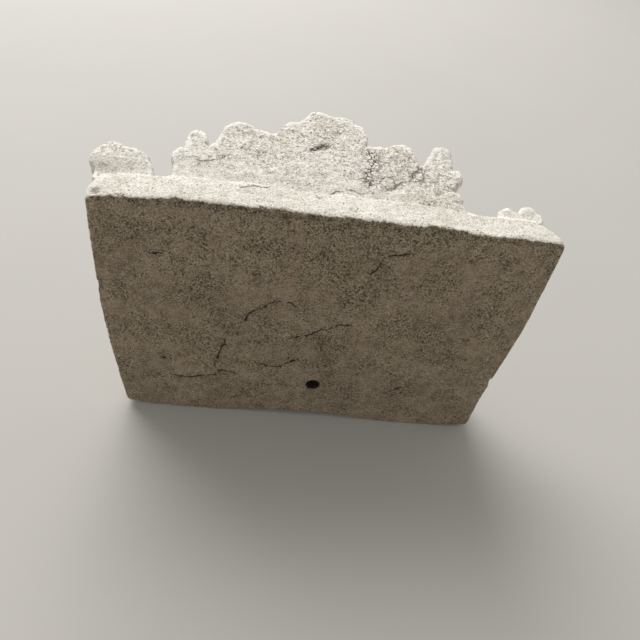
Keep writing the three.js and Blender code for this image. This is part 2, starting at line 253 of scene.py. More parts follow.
class Form:
    """Signed distances on a grid of x, depth and height. Negative is inside."""

    LOW = np.array([-252.0, -6.0, -170.0])
    HIGH = np.array([252.0, 222.0, 196.0])
    FAR = 60.0
    MARGIN = 6.0

    def __init__(self, step):
        self.step = step
        self.axes = [np.arange(low, high, step, dtype=np.float32) for low, high in zip(self.LOW, self.HIGH)]
        self.value = np.full([len(axis) for axis in self.axes], self.FAR, dtype=np.float32)

    def window(self, low, high):
        return tuple(
            slice(int(np.searchsorted(axis, a)), int(np.searchsorted(axis, b, "right")))
            for axis, a, b in zip(self.axes, low, high)
        )

    def places(self, part):
        return np.meshgrid(*(axis[run] for axis, run in zip(self.axes, part)), indexing="ij", sparse=True)

    def add(self, shape, blend=0.0):
        distance, low, high = shape
        reach = blend + self.MARGIN
        part = self.window(np.asarray(low) - reach, np.asarray(high) + reach)
        if self.value[part].size:
            self.value[part] = smooth_min(self.value[part], distance(*self.places(part)), blend)

    def cut(self, shape, blend=0.0, margin=MARGIN):
        distance, low, high = shape
        reach = blend + margin
        part = self.window(np.asarray(low) - reach, np.asarray(high) + reach)
        if self.value[part].size:
            self.value[part] = -smooth_min(-self.value[part], distance(*self.places(part)), blend)

    def sample(self, points):
        """The field at points given as x, depth and height, blended from the eight knots round each."""
        place = (points - self.LOW) / self.step
        top = np.array(self.value.shape) - 2
        knot = np.clip(np.floor(place).astype(int), 0, top)
        share = np.clip(place - knot, 0, 1)
        total = np.zeros(len(points))
        for corner in np.ndindex(2, 2, 2):
            weight = np.prod(np.where(corner, share, 1 - share), axis=1)
            total += weight * self.value[tuple((knot + corner).T)]
        return total


def smooth_min(a, b, blend):
    if blend <= 0:
        return np.minimum(a, b)
    mix = np.maximum(blend - np.abs(a - b), 0) / blend
    return np.minimum(a, b) - mix * mix * mix * blend / 6


def turned(x, d, z, at, roll=0.0, lean=0.0, turn=0.0):
    """A place as a form sees it. Roll is in the plane of the back, lean forwards, turn round the vertical."""
    x, d, z = x - at[0], d - at[1], z - at[2]
    if turn:
        c, s = math.cos(math.radians(turn)), math.sin(math.radians(turn))
        x, d = c * x + s * d, -s * x + c * d
    if roll:
        c, s = math.cos(math.radians(roll)), math.sin(math.radians(roll))
        x, z = c * x + s * z, -s * x + c * z
    if lean:
        c, s = math.cos(math.radians(lean)), math.sin(math.radians(lean))
        d, z = c * d + s * z, -s * d + c * z
    return x, d, z


VEIN_WIDTH = 2.4


def mass(at, half, vein=0.0, **turns):
    """An ellipsoid, with a groove along its crest where vein is set."""

    def distance(x, d, z):
        x, d, z = turned(x, d, z, at, **turns)
        near = np.sqrt((x / half[0]) ** 2 + (d / half[1]) ** 2 + (z / half[2]) ** 2)
        slope = np.sqrt((x / half[0] ** 2) ** 2 + (d / half[1] ** 2) ** 2 + (z / half[2] ** 2) ** 2)
        out = near * (near - 1) / np.maximum(slope, 1e-4)
        return out + vein * np.exp(-((x / VEIN_WIDTH) ** 2)) if vein else out

    reach = max(half) if turns else np.array(half)
    return distance, np.array(at) - reach, np.array(at) + reach


def spine_through(points, count):
    """A smooth curve through a few points, as so many points."""
    points = np.array(points, dtype=float)
    ends = np.vstack([2 * points[0] - points[1], points, 2 * points[-1] - points[-2]])
    out = []
    for run in np.linspace(0, len(points) - 1, count):
        i = min(int(run), len(points) - 2)
        t = run - i
        a, b, c, e = ends[i : i + 4]
        bend = (2 * a - 5 * b + 4 * c - e) * t**2 + (3 * b - a - 3 * c + e) * t**3
        out.append(0.5 * (2 * b + (c - a) * t + bend))
    return np.array(out)


LOCK_PIECES = 13
LOCK_RUNS = (0, 0.3, 0.62, 0.86, 1.0)


def lock(
    along, out, width, thick, tip=0.05, root=0.4, body=(0.9, 0.62), strands=4, groove=0.2, fade=2.0, phase=0.0
):
    """A lock of hair: a tapering tube along a curve, with the grooves of its strands.

    One that is much thicker than it is wide has a rounded oblong section, and any other an oval one.
    """
    spine = spine_through(along, LOCK_PIECES + 1)
    out = np.asarray(out, dtype=float)

    def distance(x, d, z):
        best = None
        for i in range(LOCK_PIECES):
            start, line = spine[i], spine[i + 1] - spine[i]
            length = np.linalg.norm(line)
            tangent = line / length
            normal = out - out.dot(tangent) * tangent
            normal /= np.linalg.norm(normal)
            side = np.cross(normal, tangent)
            px, pd, pz = x - start[0], d - start[1], z - start[2]
            onward = px * tangent[0] + pd * tangent[1] + pz * tangent[2]
            share = np.clip(onward / length, 0, 1)
            past = onward - share * length
            run = (i + share) / LOCK_PIECES
            scale = np.interp(run, LOCK_RUNS, [root, 1.0, *body, tip])
            across = px * side[0] + pd * side[1] + pz * side[2]
            high = px * normal[0] + pd * normal[1] + pz * normal[2]
            half_width, half_thick = width / 2 * scale, thick / 2 * scale
            if thick > width * 1.2:
                flat = half_thick - half_width
                high = high - np.clip(high, -flat, flat)
                half_thick = half_width
            if groove:
                spread = np.clip(across / half_width + 0.1 * np.sin(5 * run + phase), -1, 1)
                comb = 0.5 - 0.5 * np.cos(spread * np.pi * strands + phase)
                depth = groove * np.clip((fade - run) * 6, 0, 1)
                half_thick = half_thick * (1 - depth * comb)
            near = np.sqrt((across / half_width) ** 2 + (high / half_thick) ** 2 + (past / half_thick) ** 2)
            part = (near - 1) * np.minimum(half_width, half_thick)
            best = part if best is None else np.minimum(best, part)
        return best

    reach = max(width, thick) / 2
    return distance, spine.min(0) - reach, spine.max(0) + reach


class Grain:
    """Smooth noise from -1 to 1 at any points, repeatable from its seed."""

    SIDE = 32

    def __init__(self, seed):
        rng = np.random.default_rng(seed)
        self.lattice = rng.uniform(-1, 1, (self.SIDE,) * 3).astype(np.float32)

    def __call__(self, points, size):
        place = points / size
        knot = np.floor(place)
        share = place - knot
        share = share * share * (3 - 2 * share)
        knot = knot.astype(int)
        total = np.zeros(len(points), dtype=np.float32)
        for corner in np.ndindex(2, 2, 2):
            weight = np.prod(np.where(corner, share, 1 - share), axis=1)
            total += weight * self.lattice[tuple(((knot + corner) % self.SIDE).T)]
        return total


# The slab and the relief's limits, in millimetres. The top side of the relief rises forwards from the slab.

RELIEF_AXIS = 13.0
FACE_AXIS = 5.0
TOP_RISE = math.tan(math.radians(13))
RELIEF_DEPTH = 216.0
RELIEF_SIDES = (-236.0, 236.0)
OVERHANG = 7.5
# The slab's uneven sides: how far each stands out from its even size, bows, leans to one end and wavers
SIDES = {
    "right": {"room": 3.2, "bow": 6.8, "skew": 0.0, "wave": -0.6},
    "top": {"room": 1.0, "bow": 4.0, "skew": 0.0, "wave": 1.2},
    "left": {"room": 2.0, "bow": 2.8, "skew": 1.8, "wave": -0.6},
    "bottom": {"room": 3.0, "bow": 2.0, "skew": 0.0, "wave": 4.6},
}
# The top side of the slab falls to the right and dips on the left
TOP_FALL = {"from": 150.0, "slope": 0.045}
TOP_DIP = {"at": -145.0, "half": 32.0, "drop": 3.2}
# Its front lies further back on the left, and its upper left front corner has worn round
FRONT_STEP = {"from": -60.0, "over": 80.0, "back": 5.0}
WORN_CORNER = {"across": -200.0, "up": 100.0, "fade": 40.0, "depth": 0.035}
# Its upper right corner bulges between back and front
BULGE = {"across": 205.0, "up": 125.0, "fade": 20.0, "from": 2.0, "over": 36.0, "height": 3.0}


def swell(side, run):
    """How far a side bows, leans and wavers, at a share of its run."""
    shape = SIDES[side]
    even = shape["bow"] * 4 * run * (1 - run)
    return even + shape["skew"] * np.sin(2 * np.pi * run) + shape["wave"] * np.sin(3 * np.pi * run)


def out_of_outline(sizes, x, z):
    """How far places lie outside the slab's outline, with its swollen sides and rounded corners."""
    half_width, half_height = sizes.width / 2, sizes.height / 2
    up = np.clip(z / sizes.height + 0.5, 0, 1)
    along = np.clip(x / sizes.width + 0.5, 0, 1)
    right = x - half_width - SIDES["right"]["room"] - swell("right", up)
    left = -x - half_width - SIDES["left"]["room"] - swell("left", 1 - up)
    fall = TOP_FALL["slope"] * np.maximum(x - TOP_FALL["from"], 0)
    dip = TOP_DIP["drop"] * np.exp(-(((x - TOP_DIP["at"]) / TOP_DIP["half"]) ** 2))
    over = z - half_height - SIDES["top"]["room"] - swell("top", 1 - along) + fall + dip
    under = -z - half_height - SIDES["bottom"]["room"] - swell("bottom", along)
    across, high = np.maximum(right, left) + sizes.corner, np.maximum(over, under) + sizes.corner
    plan = np.sqrt(np.maximum(across, 0) ** 2 + np.maximum(high, 0) ** 2)
    return plan + np.minimum(np.maximum(across, high), 0) - sizes.corner


def slab_front(sizes, x):
    """The depth of the slab's front."""
    return sizes.thickness - FRONT_STEP["back"] * np.clip((FRONT_STEP["from"] - x) / FRONT_STEP["over"], 0, 1)


def slab_shape(sizes):
    def distance(x, d, z):
        upper = np.clip((z - WORN_CORNER["up"]) / WORN_CORNER["fade"], 0, 1)
        lost = WORN_CORNER["depth"] * np.maximum(WORN_CORNER["across"] - x, 0) ** 2 * upper
        front = slab_front(sizes, x) - lost
        arris = np.where(d > front / 2, sizes.front_arris, sizes.arris)
        bulge = BULGE["height"] * np.sin(np.pi * np.clip((d - BULGE["from"]) / BULGE["over"], 0, 1))
        bulge = bulge * np.clip((x - BULGE["across"]) / BULGE["fade"], 0, 1)
        bulge = bulge * np.clip((z - BULGE["up"]) / BULGE["fade"], 0, 1)
        plan = out_of_outline(sizes, x, z) + arris - bulge
        deep = np.abs(d - front / 2) - front / 2 + arris
        out = np.sqrt(np.maximum(plan, 0) ** 2 + np.maximum(deep, 0) ** 2)
        return out + np.minimum(np.maximum(plan, deep), 0) - arris

    room = np.array([sizes.width / 2 + 15, 0, sizes.height / 2 + 12])
    return distance, -room, room + (0, sizes.thickness, 0)


def add_core(form):
    form.add(mass((RELIEF_AXIS, 40, 0), (150, 76, 150)))
    form.add(mass((FACE_AXIS + 3, 60, 20), (112, 74, 135)), 20)


FACE_EDGE = {"across": 80, "above": 96, "below": 112, "depth": 120, "chin_back": 26}
HOOD_RIM = {"across": 164, "above": 188, "below": 150, "depth": 50}


def hood(angle, reach):
    """A place on the hood that carries the mane, from the edge of the face to the slab."""
    across, up = math.sin(angle), math.cos(angle)
    half = "above" if up > 0 else "below"
    edge = np.array(
        [
            FACE_AXIS + FACE_EDGE["across"] * across,
            FACE_EDGE["depth"] - FACE_EDGE["chin_back"] * max(-up, 0),
            FACE_EDGE[half] * up,
        ]
    )
    rim = np.array([RELIEF_AXIS + HOOD_RIM["across"] * across, HOOD_RIM["depth"], HOOD_RIM[half] * up])
    outwards, forwards = math.sin(reach * math.pi / 2), math.cos(reach * math.pi / 2)
    shares = np.array([outwards, 1 - forwards, outwards])
    return edge + (rim - edge) * shares


def hood_normal(angle, reach):
    step = 0.01
    outwards = hood(angle, reach + step) - hood(angle, reach - step)
    around = hood(angle + step, reach) - hood(angle - step, reach)
    normal = np.cross(around, outwards)
    normal /= np.linalg.norm(normal)
    return normal if normal[1] > 0 else -normal


# Rows of locks below the ears: how many, from and to which reach, width and thickness, lift off the hood,
# fall and hook in radians, a number that sets its unevenness, and how far each melts into those below it.
ROW_NAMES = ("count", "reach", "size", "lift", "fall", "hook", "odd", "blend")
ROWS = [
    dict(zip(ROW_NAMES, row))
    for row in (
        (12, (0.4, 1.0), (52, 56), 8, 0.1, 0.18, 0.9, 2),
        (11, (0.16, 0.74), (50, 54), 15, 0.16, 0.2, 2.1, 2),
        (11, (0.04, 0.46), (40, 40), 15, 0.18, 0.22, 4.4, 3),
        (14, (-0.1, 0.26), (27, 28), 6, 0.2, 0.12, 6.3, 4),
    )
]
MANE_FROM, MANE_TO = math.radians(38), math.radians(322)


def unevenness(number, odd):
    return math.sin(12.9898 * number + 4.1 * odd)


def add_mane(form):
    for row in ROWS:
        start, end = row["reach"]
        for number in range(row["count"]):
            angle = MANE_FROM + (MANE_TO - MANE_FROM) * (number + 0.5) / row["count"]
            side = 1 if angle < math.pi else -1
            fall = abs(math.sin(angle)) * row["fall"]
            last = end + 0.05 * unevenness(number, row["odd"])
            phase = 0.4 * unevenness(number, row["odd"] + 1)
            along = []
            for run in np.linspace(0, 1, 7):
                reach = min(start + (last - start) * run, 1.02)
                hook = row["hook"] * (math.sin(1.55 * math.pi * run + phase) - 0.6 * run)
                arch = math.sin(math.pi * min(0.62 * run, 0.5)) - 0.25
                lift = row["lift"] * arch - 30 * max(run - 0.8, 0)
                place = hood(angle + side * (fall * run - hook), reach)
                along.append(place + hood_normal(angle, min(reach, 0.98)) * lift)
            width, thick = row["size"]
            width *= 1 + 0.12 * unevenness(number, row["odd"] + 2)
            out = hood_normal(angle, (start + end) / 2)
            form.add(lock(along, out, width, thick, groove=0.27, fade=0.9, phase=3 * phase), row["blend"])


# The crown's locks where they end in the top side: the middle of the rounded front end, its radius, and
# the place that the lock runs back to.
CROWN = [
    {"front": (157, 79), "radius": 11, "tail": (152, 52)},
    {"front": (146, 105), "radius": 11.5, "tail": (142, 68)},
    {"front": (104, 118), "radius": 20.5, "tail": (104, 80)},
    {"front": (79, 116), "radius": 14, "tail": (77, 80)},
    {"front": (44, 132), "radius": 21.5, "tail": (45, 90)},
    {"front": (18, 158), "radius": 18.5, "tail": (17, 100)},
    {"front": (-8, 155), "radius": 18.5, "tail": (-8, 100)},
    {"front": (-23, 142), "radius": 12.5, "tail": (-23, 100)},
    {"front": (-50, 114), "radius": 14, "tail": (-48, 80)},
    {"front": (-71, 118), "radius": 19.5, "tail": (-70, 80)},
    {"front": (-120, 129), "radius": 12, "tail": (-107, 92)},
    {"front": (-126, 94), "radius": 12, "tail": (-112, 76)},
    {"front": (-123, 58), "radius": 11.5, "tail": (-108, 48)},
]


# Outlines of the plain top side of the relief, as places across and forward: the crown, then the tops of
# the upper palmettes. Each stands on walls that lean in below it, down to its lowest height.
TOPS = [
    {
        "low": 108,
        "lean": 0.42,
        "grow": 2.0,
        "line": [
            (164, 20), (163, 44), (160, 55), (160, 63), (166, 75), (164, 86), (155, 92), (158, 103),
            (155, 114), (147, 119), (140, 113), (135, 99), (129, 98), (123, 119), (111, 135), (99, 138),
            (87, 132), (71, 127), (62, 140), (52, 148), (40, 157), (34, 162), (28, 172), (22, 176), (7, 172),
            (-2, 171), (-12, 172), (-22, 162), (-33, 149), (-36, 130), (-49, 127), (-60, 132), (-72, 137),
            (-83, 129), (-91, 109), (-99, 110), (-109, 130), (-119, 140), (-130, 134), (-130, 108),
            (-137, 103), (-138, 91), (-128, 75), (-135, 63), (-134, 52), (-128, 20),
        ],
    },
    {
        "low": 122,
        "lean": 1.3,
        "grow": 1.0,
        "line": [
            (236, 20), (243, 54), (241, 74), (229, 86), (216, 81), (200, 80), (189, 69), (180, 50), (176, 20),
        ],
    },
    {
        "low": 122,
        "lean": 1.3,
        "grow": 0.5,
        "line": [
            (-168, 20), (-170, 42), (-173, 51), (-179, 55), (-184, 56), (-188, 54), (-191, 51), (-193, 51),
            (-198, 58), (-205, 61), (-212, 58), (-216, 49), (-217, 36), (-218, 20),
        ],
    },
]
# Grooves of the comb in the walls under the tops, and how far below the top they start
COMB_PITCH, COMB_DEPTH, COMB_START = 7.5, 2.0, 5


def plain_top(sizes, top):
    """A part of the relief under its plain top side, with combed walls."""
    closed = [*top["line"], top["line"][0]]
    line = spine_through(closed, 6 * len(closed))

    def distance(x, d, z):
        across, forward = x[:, :, 0], d[:, :, 0]
        nearest = np.full(np.broadcast(across, forward).shape, 999.0)
        inside = np.zeros(nearest.shape, dtype=bool)
        run = np.zeros(nearest.shape)
        length = 0.0
        for a, b in zip(line, line[1:]):
            way = b - a
            size = np.hypot(*way)
            share = np.clip(((across - a[0]) * way[0] + (forward - a[1]) * way[1]) / size**2, 0, 1)
            gap = np.hypot(across - a[0] - share * way[0], forward - a[1] - share * way[1])
            run = np.where(gap < nearest, length + share * size, run)
            nearest = np.minimum(nearest, gap)
            if way[1]:
                beyond = across < a[0] + (forward - a[1]) * way[0] / way[1]
                inside ^= ((a[1] > forward) != (b[1] > forward)) & beyond
            length += size
        plan = (np.where(inside, -nearest, nearest) - top["grow"])[:, :, None]
        drop = sizes.height / 2 + TOP_RISE * np.maximum(d - sizes.thickness, 0) - z
        below = drop - COMB_START
        comb = 0.5 - 0.5 * np.cos(run * 2 * np.pi / COMB_PITCH)[:, :, None]
        lean = top["lean"] * np.maximum(below, 0) + COMB_DEPTH * comb * np.clip(below / 10, 0, 1)
        return np.maximum(plan + lean, top["low"] - z).astype(np.float32)

    low, high = line.min(0), line.max(0)
    return distance, (low[0], low[1], top["low"]), (high[0], high[1], 196)


def add_crown(form, sizes):
    for top in TOPS:
        form.add(plain_top(sizes, top), 4)
    top = sizes.height / 2
    for number, lobe in enumerate(CROWN):
        front, tail = np.array(lobe["front"], dtype=float), np.array(lobe["tail"], dtype=float)
        middle = (front + tail) / 2
        run = np.linalg.norm(front - tail)
        width = 2 * lobe["radius"] - 2
        spread = (middle[0] - RELIEF_AXIS) / 150
        root = np.array([FACE_AXIS + 62 * spread, 134 - 40 * spread**2, 96 - 26 * spread**2])
        end = np.array([*middle, top + TOP_RISE * max(middle[1] - sizes.thickness, 0)])
        way = end - root
        swing = np.array([1, 0, -way[0] / way[2]]) * (7 if number % 2 else -7)
        low = root + way * 0.33 + (0, 7, 0) + swing
        high = end + (-0.08 * way[0], 1, -30)
        beyond = end + (0, 6, 26)
        out = np.array([*(front - tail) / run, 0.2])
        strands = max(2, round(width / 8))
        along = [root, low, high, end, beyond]
        taper = {"tip": 1.0, "body": (1.0, 1.0)}
        comb = {"strands": strands, "groove": 0.16, "fade": 0.72, "phase": number}
        form.add(lock(along, out, width, width + run, **taper, **comb), 3)


# The top of the head behind the crown, as its depth at a few places across.
CORE_ACROSS = [-128, -118, -100, -88, -62, -40, -30, -20, 5, 32, 60, 75, 90, 112, 124, 138, 158]
CORE_DEPTH = [64, 92, 106, 112, 118, 124, 126, 132, 140, 138, 124, 122, 116, 104, 101, 98, 62]


def crown_core(sizes):
    top = sizes.height / 2

    def distance(x, d, z):
        front = np.interp(x, CORE_ACROSS, CORE_DEPTH) - 0.25 * np.maximum(top - z, 0)
        sides = np.maximum(x - CORE_ACROSS[-1], CORE_ACROSS[0] - x)
        return np.maximum(np.maximum(sides, (d - front) * 0.8), 100 - z).astype(np.float32)

    return distance, (CORE_ACROSS[0], 0, 100), (CORE_ACROSS[-1], 150, 196)


def add_face(form):
    """The face, with its places across counted from its own middle."""

    def one(at, half, blend, how="add", **turns):
        getattr(form, how)(mass((FACE_AXIS + at[0], at[1], at[2]), half, **turns), blend)

    def both(at, half, blend, how="add", roll=0, turn=0, **turns):
        for side in (1, -1):
            one((side * at[0], at[1], at[2]), half, blend, how, roll=side * roll, turn=side * turn, **turns)

    # Skull, forehead and the two wrinkled muscles between the brows
    one((0, 80, 10), (80, 76, 104), 10)
    one((0, 104, 92), (62, 44, 46), 16)
    one((0, 140, 62), (26, 26, 40), 20, lean=-6)
    both((8, 153, 74), (7, 14, 24), 6, roll=8)
    # Bridge of the nose
    one((0, 158, 14), (20, 34, 46), 14, lean=-22)
    # Muzzle, cheeks, throat
    one((0, 134, -44), (52, 54, 34), 16)
    both((54, 106, -6), (38, 42, 30), 18, turn=-10, roll=-20)
    both((50, 126, -28), (28, 30, 22), 12)
    both((74, 100, 34), (20, 26, 34), 12)
    both((50, 118, 10), (27, 22, 11), 14, turn=-25, roll=24)
    one((0, 112, -88), (50, 46, 46), 16)
    # Ears, each with its rim and its hollow
    both((79, 122, 104), (26, 25, 34), 5, roll=-32)
    both((80, 150, 101), (14, 20, 22), 6, "cut", roll=-32)
    # Brows and the sockets under them
    both((34, 142, 58), (34, 21, 13), 12, turn=-22, roll=15)
    both((36, 165, 37), (21, 22, 13), 8, "cut", roll=14)
    # Flews, nose, jaw, chin
    both((25, 166, -50), (32, 38, 24), 6, turn=-12, roll=-16)
    both((46, 148, -54), (20, 28, 20), 12, turn=-30)
    one((0, 178, -4), (18, 24, 14), 12)
    one((0, 191, -16), (25, 20, 12), 5, lean=10)
    one((0, 195, -28), (13, 16, 12), 5)
    one((0, 118, -118), (46, 52, 24), 8)
    one((0, 146, -129), (31, 30, 15), 6)
    # Eyeballs and pupils
    both((36, 136, 36), (15, 14, 12.5), 1.5)
    both((36.5, 151.5, 36), (3.4, 4, 3.6), 1.0, "cut")
    # Mouth, tongue, nostrils, parting of the lips
    one((0, 186, -94), (44, 58, 21), 4, "cut")
    one((0, 144, -112), (20, 34, 8), 4)
    one((0, 150, -105), (1.6, 32, 3.5), 2, "cut")
    both((14, 210, -20), (7.5, 10, 5), 3, "cut", roll=24)
    one((0, 207, -52), (2.4, 16, 20), 5, "cut")


def add_lids_and_teeth(form):
    for side in (1, -1):
        eye = FACE_AXIS + side * 36
        inner, outer = (eye - side * 18, 149, 30), (eye + side * 20, 138, 44)
        upper = [inner, (eye - side * 7, 153, 45), (eye + side * 8, 149, 49), outer]
        lower = [inner, (eye - side * 4, 151, 26), (eye + side * 10, 146, 29), outer]
        form.add(lock(upper, (0, 1, 0), 9, 9, root=0.7, tip=0.35, groove=0), 2.5)
        form.add(lock(lower, (0, 1, 0), 7, 7, root=0.7, tip=0.35, groove=0), 2.5)
        x = FACE_AXIS + side * 23
        fang = [(x, 180, -62), (x - side, 181, -78), (x - side * 3, 178, -95)]
        form.add(lock(fang, (0, 1, 0), 12, 12, root=1, tip=0.1, groove=0), 1)
        x = FACE_AXIS + side * 20
        fang = [(x, 160, -126), (x, 163, -113), (x - side, 164, -100)]
        form.add(lock(fang, (0, 1, 0), 11, 11, root=1, tip=0.1, groove=0), 1)
        for place in (3.6, 10.6):
            form.add(mass((FACE_AXIS + side * place, 183, -72), (3.1, 4, 11)), 1)
            form.add(mass((FACE_AXIS + side * place * 0.9, 166, -114), (3.0, 4, 6.5)), 1)
        # Whisker dots in rows along the flew
        for row in range(3):
            for dot in range(4):
                across, high = 17 + 8.5 * dot, -40 - 8 * row - 1.5 * dot
                round_out = 1 - ((across - 25) / 32) ** 2 - ((high + 50) / 24) ** 2
                depth = 166 + 38 * math.sqrt(max(round_out, 0.1))
                form.cut(mass((FACE_AXIS + side * across, depth, high), (1.6, 5, 1.6)), 1.2, margin=2)


# Leaflets of a palmette: degrees that each is turned up from level, and the share of its height it loses
LEAFLETS = [(87, 0.36), (46, 0.0), (18, 0.06), (-8, 0.2)]
PALMETTES = [
    {"at": (193, 92), "side": 1, "up": 1, "across": 47, "tall": 84, "depth": 102, "leaf": 19},
    {"at": (-181, 92), "side": -1, "up": 1, "across": 36, "tall": 78, "depth": 57, "leaf": 16},
    {"at": (188, -92), "side": 1, "up": -1, "across": 42, "tall": 54, "depth": 76, "leaf": 14},
    {"at": (-184, -92), "side": -1, "up": -1, "across": 40, "tall": 54, "depth": 66, "leaf": 14},
]


def add_palmettes(form, sizes):
    """Four leaflets with a vein each, fanned out of one stem, in every corner."""
    for palmette in PALMETTES:
        x, z = palmette["at"]
        leaf = palmette["leaf"]
        height = palmette["depth"] - sizes.thickness
        wide, high = palmette["side"] * palmette["across"], palmette["up"] * palmette["tall"]
        for aim, sink in LEAFLETS:
            across, tall = math.cos(math.radians(aim)), math.sin(math.radians(aim))
            way = np.array(
                [
                    wide * math.copysign(abs(across) ** 0.5, across),
                    0,
                    high * math.copysign(abs(tall) ** 0.5, tall),
                ]
            )
            length = np.linalg.norm(way)
            middle = np.array([x, sizes.thickness, z]) + way * 0.56
            half = (leaf, height * (1 - sink), 0.62 * length)
            form.add(mass(middle, half, vein=3.0, roll=-math.degrees(math.atan2(way[0], way[2]))), 1.5)
        # A plain boss closes the gaps behind the leaflets, and a small one is their stem
        middle = (x + wide * 0.42, sizes.thickness, z + high * 0.42)
        form.add(mass(middle, (palmette["across"] * 0.64, height * 0.76, palmette["tall"] * 0.62)), 3)
        form.add(mass((x, sizes.thickness + 2, z), (11, height * 0.55, 11)), 3)


def trim_relief(form, sizes):
    """The relief keeps to the slab below and at the sides, and to one rising plane along the top."""
    x, d, z = form.places(tuple(slice(None) for _ in range(3)))
    high = sizes.height / 2 + SIDES["top"]["bow"] / 2
    end = sizes.height / 2 + TOP_RISE * (RELIEF_DEPTH + 20 - sizes.thickness)
    rise = (end - high) / (RELIEF_DEPTH + 20 - sizes.thickness)
    over = (z - high - rise * np.maximum(d - sizes.thickness, 0)) / math.sqrt(1 + rise**2)
    # Near the slab it keeps down to the slab's own falling top
    near_slab = np.clip((62 - d) / 24, 0, 1)
    fall = 1.0 + 1.3 * TOP_FALL["slope"] * np.maximum(x - TOP_FALL["from"], 0)
    over = over + fall * near_slab * near_slab * (3 - 2 * near_slab)
    form.value = -smooth_min(-form.value, -over.astype(np.float32), 9)
    low, right = RELIEF_SIDES
    right = right + OVERHANG * np.clip((z - 130) / 10, 0, 1) * np.clip((d - sizes.thickness - 4) / 7, 0, 1)
    beside = np.maximum(x - right, low - x)
    beyond = np.maximum(-sizes.height / 2 + 1 - z, sizes.thickness - 10 - d)
    form.value = np.maximum(form.value, np.maximum(beside, beyond).astype(np.float32))


BORE_AT = (-7.0, -94.0)


def cut_bore(form, sizes):
    def distance(x, d, z):
        return np.hypot(x - BORE_AT[0], z - BORE_AT[1]) - sizes.bore / 2 + 0 * d

    x, z, reach = *BORE_AT, sizes.bore / 2
    form.cut((distance, (x - reach, -6, z - reach), (x + reach, 170, z + reach)), 1.0)


# Wear: chips, pits, crumbled arrises, creases, flakes and an uneven skin. A chip's place is across, deep and
# up, and places in the top side are across and forward.

CHIPS = [
    {"at": (225, 7, 152.5), "half": (6.5, 4, 3.5)},
    {"at": (25, 109, 168.5), "half": (4.0, 1.7, 3)},
    {"at": (18, 112, 169.5), "half": (4.5, 1.4, 3)},
    {"at": (10, 116, 170.5), "half": (4.0, 1.8, 3)},
    {"at": (-128, 1, 155.5), "half": (13, 2.5, 4)},
    {"at": (150, 1, 155.5), "half": (6, 2.5, 3)},
    {"at": (-96, 1, 156.5), "half": (8, 2.5, 3)},
    {"at": (-150, 0, 154), "half": (7, 3, 2.5)},
    {"at": (237, 2, -30), "half": (3, 3, 7)},
    {"at": (236, 2, 42), "half": (2.5, 3, 5)},
    {"at": (-230, 2, -60), "half": (3, 3, 6)},
    {"at": (20, 2, -156), "half": (8, 3, 2.5)},
]
# Creases between the crown's locks, as far as they show in the top side.
CREASES = [
    [(135, 99), (130, 88), (121, 78)],
    [(154, 107), (147, 92), (139, 76)],
    [(163, 84), (156, 72), (148, 62)],
    [(88, 131), (85, 120), (82, 106)],
    [(63, 140), (66, 126), (68, 112)],
    [(40, 152), (37, 138), (35, 128)],
    [(-35, 130), (-31, 118), (-24, 108)],
    [(-56, 128), (-57, 116)],
    [(-94, 108), (-92, 94), (-84, 84)],
    [(-130, 106), (-120, 98), (-110, 84)],
    [(-130, 73), (-120, 70), (-108, 62)],
]
# Lines along which the top side has crumbled, each after its reach to both sides.
CRUMBS = [
    (9, [(-41, 112), (-44, 98), (-38, 84), (-36, 68)]),
    (4, [(26, 107), (18, 112), (7, 117)]),
]
# The worn patch of the top side: its middle and half sizes, how many flakes it has and how deep they go.
FLAKES = {"at": (-56, 87), "half": (40, 30), "count": 26, "drop": 1.1}
PITS = {"count": 220, "radius": (0.8, 1.9)}
# Unevenness of the whole skin: how high it is, its shift in the noise, and how wide.
SWELLS = [(0.5, 0, 38), (0.26, 70, 11), (0.2, 130, 4.3)]
ARRIS_WEAR = 4.5
CREASE_WIDTH = 2.6


def pit_skin(form, rng):
    """Open pits of a few millimetres, anywhere on the casting."""
    cells = np.argwhere(np.abs(form.value) < form.step * 0.6)
    for cell in cells[rng.integers(0, len(cells), PITS["count"])]:
        at = form.LOW + cell * form.step
        radius = rng.uniform(*PITS["radius"])
        half = radius * rng.uniform(0.7, 1.3, 3)
        form.cut(mass(at, half, roll=rng.uniform(0, 180)), 0.8, margin=1.5)


